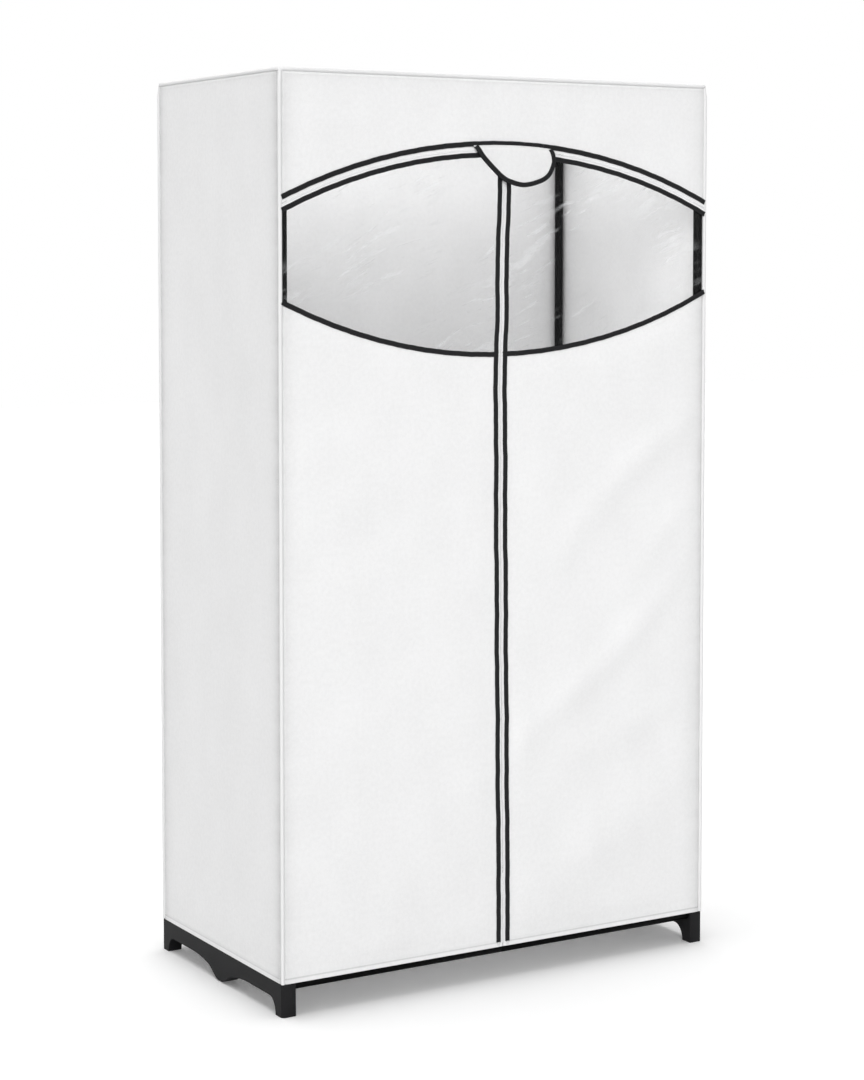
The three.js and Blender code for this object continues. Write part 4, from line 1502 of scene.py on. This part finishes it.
@dataclass
class Zips:
    """The tapes and coils of the middle zip and of the two arc zips."""

    layout: Layout
    rows: BarRow
    coil_pitch: float = 0.0015
    coil_length: float = 0.0031
    coil_radius: float = 0.0005
    coil_lean: float = 1.43
    coil_foot: float = 0.059
    coil_proud: float = 0.0003
    coil_overlap: float = 0.0003
    coil_loose: float = 0.02
    tape_sunk: float = 0.00005
    tape_short: float = 0.0003

    def flat_tape(self, name: str, a: Array, b: Array, body: str, node: str) -> bpy.types.Object:
        """Makes a zip tape from its edges.

        Args:
            name: the piece's name.
            a: points of its edge at the slot, as (x, z).
            b: points of its edge under the binding.
            body: the body that it moves with.
            node: the node that it stands for.

        Returns:
            The tape.
        """
        place = self.layout
        shares = np.array([0.0, 0.04, 0.3, 0.36, 0.42, 0.7, 1.0])
        dips = np.array([0.00008, 0.0, 0.0, 0.00012, 0.0, 0.0, 0.0])
        flat = a[:, None, :] * (1 - shares[None, :, None]) + b[:, None, :] * shares[None, :, None]
        front = on_front(flat, place.face - self.tape_sunk - np.broadcast_to(dips, flat.shape[:2]))
        back = on_front(flat, place.face_back)
        uv = flat_places(run_along(a), shares * np.linalg.norm(b[0] - a[0]))
        piece = solid(name, [sheet_shell(front, back, uv)], ZIP_TAPE)
        return settle(piece, body, ZIP_TAPE, node)

    def coil(self, name: str, path: Array, sign: int, body: str) -> None:
        """Makes the coil along one edge of the slot, leaning the way of its sign."""
        line = on_front(path, self.layout.face + self.coil_proud)
        sizes = {"pitch": self.coil_pitch, "length": self.coil_length, "radius": self.coil_radius}
        angle = sign * self.coil_lean
        piece = self.rows.make(name, [line], COIL, **sizes, angle=angle, loose=self.coil_loose)
        settle(piece, body, COIL)

    def middle(self, side: Side) -> None:
        """Makes one half of the middle zip."""
        place, sign, body = self.layout, side.value, f"{side.label}_door"
        top = place.arch_at(place.door_radius, place.middle_half) - self.tape_short
        z = np.linspace(place.hem_z, top, 260)

        def line(distance: float, heights: Array) -> Array:
            """Returns a line at a distance from the zip's middle."""
            return place.swayed_line(np.full_like(heights, sign * distance), heights)

        edge = place.middle_half + place.tuck - self.tape_short
        name = f"middle_zip_{side.label}"
        self.flat_tape(f"{name}_tape_cloth", line(place.slot_half, z), line(edge, z), body, f"{name}_tape")
        start = self.coil_foot + (sign < 0) * self.coil_pitch / 2
        heights = np.arange(start, top - 0.001, self.coil_pitch)
        self.coil(f"{name}_coil", line(self.coil_length / 2 - self.coil_overlap, heights), sign, body)

    def arc(self, side: Side, upper: bool) -> None:
        """Makes one edge of an arc zip, on the header or on a door."""
        place, sign = self.layout, side.value
        way = 1 if upper else -1
        body = FIXED_BODY if upper else f"{side.label}_door"
        kind = "header" if upper else "door"
        outer = (place.header_radius if upper else place.door_radius) + way * (place.tuck - self.tape_short)
        slot = place.zip_radius + way * place.slot_half
        x = sign * np.linspace(place.slot_half, place.seam_x, 120)
        name = f"arc_zip_{side.label}_{kind}"
        edges = place.arch_line(slot, x), place.arch_line(outer, x)
        self.flat_tape(f"{name}_tape_cloth", *edges, body, f"{name}_tape")
        middle = place.zip_radius + way * (self.coil_length / 2 - self.coil_overlap)
        step = self.coil_pitch / place.zip_radius
        start = math.asin(place.slot_half / place.zip_radius) + (not upper) * step / 2
        turns = np.arange(start, math.asin((place.seam_x - self.coil_radius) / middle), step)
        line = place.arch_line(middle, sign * middle * np.sin(turns))
        self.coil(f"{name}_coil", line, way * sign, body)

    def build(self) -> None:
        """Makes every tape and coil."""
        for side in Side:
            self.middle(side)
            for upper in (True, False):
                self.arc(side, upper)


@dataclass
class Pulls:
    """Sliders and pull tabs: the plain forms of the frame with rounded edges and plated metal."""

    rounding: float = 0.00028

    def build(self) -> None:
        """Makes the three sliders and the three pulls."""
        bodies = {f"middle_{part}": f"middle_zip_{part}" for part in ("slider", "pull")}
        for side in Side:
            bodies |= {f"arc_{part}_{side.label}": f"{side.label}_zip_{part}" for part in ("slider", "pull")}
        for node, body in bodies.items():
            settle(rounded_copy(node, f"{node}_metal", self.rounding, PLATED), body, PLATED, node)


def rounded_copy(node: str, name: str, rounding: float, finish: Finish) -> bpy.types.Object:
    """Returns a copy of a node with its flat faces merged and its edges rounded."""
    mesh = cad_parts[node].data.copy()
    form = bmesh.new()
    form.from_mesh(mesh)
    bmesh.ops.remove_doubles(form, verts=form.verts, dist=0.00001)
    bmesh.ops.dissolve_limit(form, angle_limit=math.radians(1.0), verts=form.verts, edges=form.edges)
    form.to_mesh(mesh)
    form.free()
    piece = linked(f"{name}_plain", mesh, finish)
    round_edges(piece, rounding, 35.0)
    done = baked(piece, name, finish)
    smooth_over(done.data, 50.0)
    return done


# Flap


@dataclass
class Flap:
    """The cloth flap over the meeting point of the zips, sewn under the header's binding."""

    layout: Layout
    cover: Cover
    left: float = 0.066
    right: float = 0.104
    drop: float = 0.0735
    seam: float = 0.002
    hang: float = 0.009
    thickness: float = 0.0012
    binding_width: float = 0.0085
    across_shares: tuple[float, ...] = (0, 0.09, 0.31, 0.46, 0.63, 0.83, 0.94, 1, 1, 0.97)
    fall_shares: tuple[float, ...] = (0.04, 0.33, 0.79, 0.95, 1, 0.89, 0.72, 0.45, 0.26, 0)
    bulge: float = 0.0016
    tone: float = 0.1
    seam_tone: float = 0.28
    turned_under: float = 0.0008
    under_binding: float = 0.0015
    binding_proud: float = 0.0013
    binding_past: float = 0.0006
    seam_allowance: float = 0.004

    def free_edge(self, count: int) -> Array:
        """Returns points along the free edge, from its left end to its right end."""
        seat = self.layout.header_radius + self.seam
        peak = self.layout.arch_at(seat)
        knots = np.array(
            [
                (share * (self.left + self.right) - self.left, peak - fall * self.drop)
                for share, fall in zip(self.across_shares, self.fall_shares)
            ]
        )
        for end in (0, -1):
            knots[end, 1] = self.layout.arch_at(seat, knots[end, 0])
        points = []
        padded = np.concatenate([knots[:1], knots, knots[-1:]])
        for before, start, end, after in zip(padded, padded[1:], padded[2:], padded[3:]):
            for t in np.linspace(0, 1, 30, endpoint=False):
                ends = 2 * start + (end - before) * t
                rest = (2 * before - 5 * start + 4 * end - after) * t**2
                points.append((ends + rest + (3 * start - before - 3 * end + after) * t**3) / 2)
        points.append(knots[-1])
        line = np.array(points)
        run = run_along(line)
        even = np.linspace(0, run[-1], count)
        return np.stack([np.interp(even, run, line[:, i]) for i in range(2)], axis=1)

    def level(self, flat: Array) -> Array:
        """Returns how far forward the flap's cloth hangs at points of the front."""
        place = self.layout
        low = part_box("flap_panel")[0]
        below = place.header_radius + self.seam - place.from_centre(flat[..., 0], flat[..., 1])
        seam_level = place.binding_front + STITCH_LIFT
        out = seam_level + (-low.y - seam_level) * soft_step(below, -0.003, self.hang)
        share = np.clip(below / self.drop, 0, 1)
        belly = np.sin(math.pi * np.clip((flat[..., 0] + self.left) / (self.left + self.right), 0, 1))
        ripple = 0.0005 * np.sin(TURN * flat[..., 0] / 0.052 + 0.7) * share
        return out + self.bulge * belly * np.sin(math.pi * share * 0.8) + ripple * belly

    def place_at(self, flat: Array, lift: float) -> Array:
        """Returns points on the flap's outside, or a lift above it."""
        return on_front(flat, self.level(flat) + lift)

    def cloth(self) -> tuple[bpy.types.Object, float]:
        """Makes the flap's cloth.

        Returns:
            The cloth, and its flat area.
        """
        place = self.layout
        free = self.free_edge(110)
        seat = place.header_radius + self.seam + self.under_binding
        x = np.linspace(free[0, 0] + 0.001, free[-1, 0] - 0.001, len(free))
        top = place.arch_line(seat, x)
        shares = np.concatenate([[0, 0.02, 0.05, 0.09, 0.14], np.linspace(0.2, 0.985, 22), [1.0]])
        flat = top[None] * (1 - shares[:, None, None]) + free[None] * shares[:, None, None]
        front, back = self.place_at(flat, 0.0), self.place_at(flat, -self.thickness)
        piece = solid("flap_cloth", [sheet_shell(front, back, flat)], CLOTH)
        below = seat - place.from_centre(flat[..., 0], flat[..., 1])
        # The flap is darker all over by its tone, and painted shade darkens it under the binding along its
        # sewn top.
        write_painted_shade(piece, self.tone + self.seam_tone * (1.0 - soft_step(below, 0.002, 0.012)))
        steps = (flat[1:, 1:] - flat[:-1, :-1], flat[1:, :-1] - flat[:-1, 1:])
        area = 0.5 * np.abs(steps[0][..., 0] * steps[1][..., 1] - steps[0][..., 1] * steps[1][..., 0]).sum()
        return piece, float(area)

    def build(self) -> None:
        """Makes the flap, its binding and its stitches."""
        place = self.layout
        piece, area = self.cloth()
        settle(piece, "flap", CLOTH, "flap_panel")
        free = self.free_edge(150)
        line = free + sideways_of(free) * (self.binding_width / 2 - self.binding_past)
        below = place.header_radius + self.seam - place.from_centre(line[:, 0], line[:, 1])
        line = line[below > 0.0]
        front = self.level(line) + self.binding_proud
        tape = Tape(line, self.binding_width, 0.0, front, flutter=0.0001)
        shell = tape.shell()
        columns = len(tape.section()[0]) + 2
        rings = shell.points.reshape(-1, columns, 3)
        rings[:, -2:, 1] = -(self.level(line)[:, None] - self.thickness - self.turned_under)
        binding = settle(solid("flap_binding_tape", [shell], BINDING), "flap", BINDING, "flap_binding")
        stitches = self.cover.sew("flap_binding_stitches", tape.stitch_paths(), BLACK_THREAD)
        settle(stitches, "flap", BLACK_THREAD)


# Frame


@dataclass
class Tubes:
    """Posts, rails and rod: painted tube with rolled ends, and a swaged plug where two halves join."""

    wall: float = 0.0008
    plug_length: float = 0.04
    plug_fit: float = 0.0003
    neck: float = 0.003
    rolled: float = 0.0004
    sides: int = 40
    crease: float = 50.0

    def profile(self, length: float, radius: float, plug: bool) -> Array:
        """Returns the tube's wall as a closed loop of radius and height."""
        bore, roll = radius - self.wall, self.rolled
        points = [(bore, 0.0), (radius - roll, 0.0), (radius, roll), (radius, length / 2)]
        if plug:
            body, thin = length - self.plug_length, bore - self.plug_fit
            points += [
                (radius, body - self.neck),
                (radius - roll, body - self.neck * 0.4),
                (thin, body),
                (thin, length - roll),
                (thin - roll, length),
                (thin - self.wall, length),
                (thin - self.wall, body - self.neck),
                (bore, body - 2 * self.neck),
            ]
        else:
            points += [(radius, length - roll), (radius - roll, length), (bore, length)]
        return np.array(points)

    def tube(self, node: str, axis: int, plug: int) -> None:
        """Makes the tube that stands in for a node.

        Args:
            node: the node.
            axis: the axis that the tube lies along.
            plug: -1 or 1 for a plug at its low or high end, 0 for none.
        """
        low, high = (np.array(corner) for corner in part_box(node))
        start = middle_of(node)
        start[axis] = high[axis] if plug < 0 else low[axis]
        radius = (high - low)[0 if axis else 1] / 2
        profile = self.profile(high[axis] - low[axis], radius, plug != 0)
        rings = turned_rings(profile, start, axis, -1 if plug < 0 else 1, self.sides)
        piece = solid(f"{node}_tube", [ring_shell(rings, closed=True)], STEEL, self.crease)
        settle(piece, FIXED_BODY, STEEL, node)

    def build(self) -> None:
        """Makes every tube."""
        for end in ENDS:
            for side in Side:
                self.tube(f"post_lower_{end}_{side.label}", 2, 1)
                self.tube(f"post_upper_{end}_{side.label}", 2, 0)
                plug = -1 if side is Side.RIGHT else 0
                self.tube(f"top_rail_{end}_{side.label}", 0, plug)
                self.tube(f"bottom_rail_{end}_{side.label}", 0, plug)
                self.tube(f"side_rail_{side.label}_{end}", 1, 0)
        for side in Side:
            self.tube(f"hanging_rod_{side.label}", 0, -1 if side is Side.RIGHT else 0)


class Carving:
    """Solids joined and cut to make one moulding."""

    crease = 42.0

    def __init__(self, start: Shell) -> None:
        """Starts from one shell."""
        self.piece = solid("moulding_blank", [start], MOULDING)
        self.tools: list[bpy.types.Object] = []

    def apply(self, shell: Shell, operation: str) -> None:
        """Joins (UNION) or cuts away (DIFFERENCE) a shell."""
        tool = solid("moulding_tool", [shell], MOULDING)
        step = self.piece.modifiers.new("step", "BOOLEAN")
        step.operation, step.solver, step.object = operation, "MANIFOLD", tool
        self.tools.append(tool)

    def done(self, node: str) -> None:
        """Hands over the finished moulding of a node."""
        piece = baked(self.piece, f"{node}_moulding", MOULDING)
        for tool in self.tools:
            bpy.data.objects.remove(tool)
        smooth_over(piece.data, self.crease)
        settle(piece, FIXED_BODY, MOULDING, node)


def turned_bar(profile: Sequence[tuple[float, float]], start: Sequence[float], axis: int, way: int) -> Shell:
    """Makes a turned bar.

    Args:
        profile: radius and height of each ring, from end to end.
        start: the point from which heights are measured.
        axis: the axis that the bar lies along.
        way: 1 or -1, the direction of its heights.

    Returns:
        The shell, capped at both ends.
    """
    return ring_shell(turned_rings(np.array(profile, float), start, axis, way, 48))


@dataclass
class Mouldings:
    """The two bases, four corner connectors and two rod tees."""

    tube_radius: float = 0.008
    fit: float = 0.0003
    wall: float = 0.0016
    socket: float = 0.034
    lip: float = 0.0005
    base_height: float = 0.058
    base_depth: float = 0.027
    chamfer: float = 0.004
    foot_length: float = 0.025
    foot_reach: float = 0.048
    foot_flare: float = 0.0012
    arch_height: float = 0.029
    pendant_half: float = 0.104
    pendant_clearance: float = 0.0015
    pendant_length_shares: tuple[float, ...] = (0, 0.12, 0.2, 0.27, 0.41, 0.55, 0.69, 0.82, 1)
    pendant_rise_shares: tuple[float, ...] = (0, 0.04, 0.18, 0.34, 0.65, 0.79, 0.89, 0.95, 1)
    tower_floor: float = 0.024
    spigot_tip: float = 0.002
    spigot_radius: float = 0.0069
    spigot_length: float = 0.036
    rod_drop: float = 0.024
    edge_round: float = 0.0009

    @property
    def bore(self) -> float:
        """Radius of a socket's bore."""
        return self.tube_radius + self.fit

    @property
    def sleeve(self) -> float:
        """Outer radius of a socket."""
        return self.bore + self.wall

    def sleeve_profile(self, length: float) -> list[tuple[float, float]]:
        """Returns a sleeve that ends in a small rounded lip."""
        r, lip = self.sleeve, self.lip
        return [(r, 0.0), (r, length - lip), (r - 0.3 * lip, length - 0.3 * lip), (r - lip, length)]

    def base_edge(self, half_depth: float) -> Array:
        """Returns a base's outline as (y, z), from the front foot along the bottom and back over the top."""
        turns = np.linspace(0, math.pi / 2, 15)
        inward = self.foot_reach - (self.foot_reach - self.foot_length) * np.cos(turns)
        foot = np.stack([inward - half_depth, self.arch_height * np.sin(turns)], axis=1)
        shares = np.linspace(1, 0, 34)
        length, rise = np.array(self.pendant_length_shares), np.array(self.pendant_rise_shares)
        even = np.interp(shares, np.linspace(0, 1, len(length)), length)
        slope = np.gradient(rise, length)
        smooth = hermite(length, rise, slope, even)
        drop = self.arch_height - self.pendant_clearance
        pendant = np.stack([-even * self.pendant_half, self.pendant_clearance + smooth * drop], axis=1)
        front = np.concatenate([[(-half_depth, 0.0)], foot, pendant])
        back = front[:-1][::-1] * (-1, 1)
        top = half_depth - self.foot_flare
        return np.concatenate([front, back, [(top, self.base_height), (-top, self.base_height)]])

    def base(self, side: Side) -> None:
        """Makes one base."""
        low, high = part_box(f"base_{side.label}")
        half, sign = high.y, side.value
        outer = sign * max(abs(low.x), abs(high.x))
        outline = self.base_edge(half)
        widths = (
            (self.base_depth, 0.0, self.edge_round),
            (self.base_depth - self.edge_round, 0.0, 0.0),
            (self.chamfer, 0.0, 0.0),
            (self.edge_round, self.chamfer - self.edge_round, 0.0),
            (0.0, self.chamfer, self.edge_round),
        )
        rings = []
        for inset, pull, shrink in widths:
            reach = half - pull
            y = np.clip(outline[:, 0], -reach, reach)
            lowest = shrink * (outline[:, 1] > self.base_height / 2)
            z = np.clip(outline[:, 1], lowest, self.base_height - shrink)
            rings.append(np.stack([np.full_like(y, outer - sign * inset), y, z], axis=1))
        carving = Carving(ring_shell(np.array(rings)))
        rail_z = middle_of("bottom_rail_front_left")[2]
        for end in ENDS:
            x, y, _ = middle_of(f"post_lower_{end}_{side.label}")
            middle = self.base_height / 2
            tower = self.sleeve_profile(high.z - middle)
            carving.apply(turned_bar(tower, (x, y, middle), 2, 1), "UNION")
            reach = abs(x) - (abs(outer) - self.base_depth) + self.spigot_length
            radius, tip = self.spigot_radius, self.spigot_tip
            spigot = [(radius, 0.0), (radius, reach - tip), (radius - tip / 2, reach)]
            carving.apply(turned_bar(spigot, (x, y, rail_z), 0, -sign), "UNION")
            bore = [(self.bore, 0.0), (self.bore, high.z)]
            carving.apply(turned_bar(bore, (x, y, self.tower_floor), 2, 1), "DIFFERENCE")
        carving.done(f"base_{side.label}")

    def connector(self, side: Side, end: str) -> None:
        """Makes one corner connector."""
        sign_y = -1 if end == "front" else 1
        corner = middle_of(f"post_upper_{end}_{side.label}")[:2] + middle_of(f"top_rail_{end}_left")[2:]
        turns = np.linspace(0.03, math.pi - 0.03, 17)
        ball = [(self.sleeve * math.sin(t), -self.sleeve * math.cos(t)) for t in turns]
        carving = Carving(turned_bar(ball, corner, 2, 1))
        arms = ((0, -side.value), (1, -sign_y), (2, -1))
        floor = self.sleeve + self.wall
        for axis, way in arms:
            carving.apply(turned_bar(self.sleeve_profile(floor + self.socket), corner, axis, way), "UNION")
        for axis, way in arms:
            bore = [(self.bore, floor), (self.bore, floor + 2 * self.socket)]
            carving.apply(turned_bar(bore, corner, axis, way), "DIFFERENCE")
        carving.done(f"corner_connector_{end}_{side.label}")

    def tee(self, side: Side) -> None:
        """Makes the tee that joins a side rail and holds the rod."""
        low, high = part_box(f"rod_tee_{side.label}")
        x, _, z = middle_of(f"side_rail_{side.label}_front")
        sign, length = side.value, high.y
        body = self.sleeve_profile(length)
        sleeve = [(radius, -height) for radius, height in body[:0:-1]] + body[1:]
        carving = Carving(turned_bar(sleeve, (x, 0.0, z), 1, 1))
        rod_z = z - self.rod_drop
        inner = abs(x + sign * self.bore - (low.x if sign > 0 else high.x))
        start = (x + sign * self.bore, 0.0, rod_z)
        carving.apply(turned_bar(self.sleeve_profile(inner), start, 0, -sign), "UNION")
        web = self.bore * 0.98
        corners = ((-web, -web), (web, -web), (web, web), (-web, web))
        rings = [[(x + a, b, level) for a, b in corners] for level in (rod_z, z)]
        carving.apply(ring_shell(np.array(rings)), "UNION")
        through = [(self.bore, -2 * length), (self.bore, 2 * length)]
        carving.apply(turned_bar(through, (x, 0.0, z), 1, 1), "DIFFERENCE")
        bore = [(self.bore, 0.0), (self.bore, inner + self.socket)]
        carving.apply(turned_bar(bore, (x - sign * self.wall, 0.0, rod_z), 0, -sign), "DIFFERENCE")
        carving.done(f"rod_tee_{side.label}")

    def build(self) -> None:
        """Makes every moulding."""
        for side in Side:
            self.base(side)
            self.tee(side)
            for end in ENDS:
                self.connector(side, end)


# Studio


@dataclass
class Studio:
    """Camera, soft light, and a white floor that keeps the shadow."""

    camera_place: tuple[float, float, float] = (-2.3197, -3.8466, 1.3213)
    camera_turn: float = 31.054
    camera_dip: float = 3.599
    lens: float = 79.986
    sensor: float = 36.0
    shift: float = -0.13
    ambient: float = 0.5
    front_watts: float = 12.0
    key_strength: float = 1.72
    side_strength: float = 0.68
    back_strength: float = 1.5
    top_strength: float = 1.5
    inside_watts: float = 1.9
    sun_spread: float = 40.0
    top_spread: float = 50.0
    far: float = 60.0
    floor_tone: float = 1.0
    floor_bounce: float = 0.5
    floor_lift: float = 0.1
    floor_size: float = 30.0

    def camera(self) -> None:
        """Places the camera at the photograph's view."""
        data = bpy.data.cameras.new("view")
        data.lens, data.sensor_width, data.shift_y = self.lens, self.sensor, self.shift
        data.clip_end = self.far
        camera = bpy.context.scene.camera = placed("view", data)
        camera.location = self.camera_place
        camera.rotation_euler = (math.radians(90.0 - self.camera_dip), 0.0, -math.radians(self.camera_turn))

    def place_lamp(
        self, data: bpy.types.Light, place: Sequence[float], aim: Sequence[float]
    ) -> bpy.types.Object:
        """Puts a lamp in the scene, looking at a point."""
        lamp = placed(data.name, data)
        lamp.location = place
        lamp.rotation_euler = (Vector(aim) - Vector(place)).to_track_quat("-Z", "Y").to_euler()
        lamp.visible_camera = False
        return lamp

    def sun(self, name: str, place: Sequence[float], spread: float, strength: float) -> bpy.types.Object:
        """Adds a broad distant light that shines from a place towards the origin."""
        data = bpy.data.lights.new(name, "SUN")
        data.angle, data.energy = math.radians(spread), strength
        return self.place_lamp(data, place, (0.0, 0.0, 0.0))

    def soft_box(
        self, name: str, place: Sequence[float], aim: Sequence[float], size: Sequence[float], watts: float
    ) -> bpy.types.Object:
        """Adds a rectangular lamp at a place, looking at a point."""
        data = bpy.data.lights.new(name, "AREA")
        data.shape, data.size, data.size_y, data.energy = "RECTANGLE", *size, watts
        return self.place_lamp(data, place, aim)

    def seen(self, graph: Graph) -> Wire:
        """Returns 1 for rays that show the background: from the camera, a mirror or glass."""
        kinds = ("Camera", "Glossy", "Transmission")
        rays = [graph.add("ShaderNodeLightPath", out=f"Is {kind} Ray") for kind in kinds]
        return rays[0].math("MAXIMUM", rays[1]).math("MAXIMUM", rays[2])

    def world(self) -> None:
        """Makes even surroundings, seen as white."""
        world = bpy.context.scene.world = bpy.data.worlds.new("surroundings")
        graph = Graph.cleared(world)
        strength = self.seen(graph) * (1.0 - self.ambient) + self.ambient
        light = graph.add("ShaderNodeBackground", {}, {"Color": (1.0, 1.0, 1.0, 1.0), "Strength": strength})
        graph.add("ShaderNodeOutputWorld", {}, {"Surface": light})

    def floor(self) -> bpy.types.Object:
        """Makes the white floor, lifted to white only where it is seen."""
        half = self.floor_size / 2
        mesh = bpy.data.meshes.new("floor")
        corners = [(-half, -half, 0), (half, -half, 0), (half, half, 0), (-half, half, 0)]
        mesh.from_pydata(corners, [], [(0, 1, 2, 3)])
        floor = placed("floor", mesh)
        material = bpy.data.materials.new("floor_white")
        graph = Graph.cleared(material)
        seen = self.seen(graph)
        tone = graph.blend(seen, (self.floor_bounce,) * 3, (self.floor_tone,) * 3)
        matt = graph.add("ShaderNodeBsdfDiffuse", {}, {"Color": tone})
        glow = graph.add("ShaderNodeEmission", {}, {"Strength": seen * self.floor_lift})
        both = graph.add("ShaderNodeAddShader", {}, {0: matt, 1: glow})
        graph.add("ShaderNodeOutputMaterial", {}, {"Surface": both})
        mesh.materials.append(material)
        return floor

    def group(self, name: str, pieces: Sequence[bpy.types.Object], state: str) -> bpy.types.Collection:
        """Returns a group for a lamp that lights these pieces alone (INCLUDE), or all others (EXCLUDE)."""
        group = bpy.data.collections.new(name)
        for piece in pieces:
            group.objects.link(piece)
        for member in group.collection_objects:
            member.light_linking.link_state = state
        return group

    def build(self, doors: Sequence[bpy.types.Object]) -> None:
        """Sets the camera, lamps, surroundings and floor, with the inside lamp kept off the doors' cloth."""
        bpy.context.scene.view_settings.view_transform = "Standard"
        self.camera()
        self.world()
        floor = self.floor()
        self.soft_box("front", (-0.5, -2.75, 0.95), (0.0, -0.24, 0.9), (1.4, 1.0), self.front_watts)
        inside = self.soft_box("inside", (0.0, 0.0, 1.56), (0.0, 0.0, 0.0), (0.8, 0.4), self.inside_watts)
        inside.visible_glossy = False
        inside.light_linking.receiver_collection = self.group("inside_only", [floor, *doors], "EXCLUDE")
        object_only = self.group("all_but_floor", [floor], "EXCLUDE")
        suns = (
            ("key", (-2.4, -4.0, 3.2), self.key_strength),
            ("side", (-4.0, -1.0, 1.6), self.side_strength),
            ("back", (2.5, 3.5, 2.4), self.back_strength),
        )
        for name, place, strength in suns:
            sun = self.sun(name, place, self.sun_spread, strength)
            sun.light_linking.receiver_collection = object_only
        top = self.sun("top", (0.0, 0.6, 4.0), self.top_spread, self.top_strength)
        top.light_linking.receiver_collection = self.group("floor_only", [floor], "INCLUDE")


def main() -> None:
    """Builds the wardrobe from its frame outwards, then the studio round it."""
    logging.basicConfig(level=logging.INFO, format="%(name)s: %(message)s")
    layout = Layout()
    rows, bead = BarRow(), Bead()
    Tubes().build()
    Mouldings().build()
    cover = Cover(layout, rows, bead)
    cover.build()
    doors = [Door(side, layout, cover).build() for side in Side]
    Zips(layout, rows).build()
    Pulls().build()
    Flap(layout, cover).build()
    Studio().build(doors)


if __name__ == "__main__":
    main()
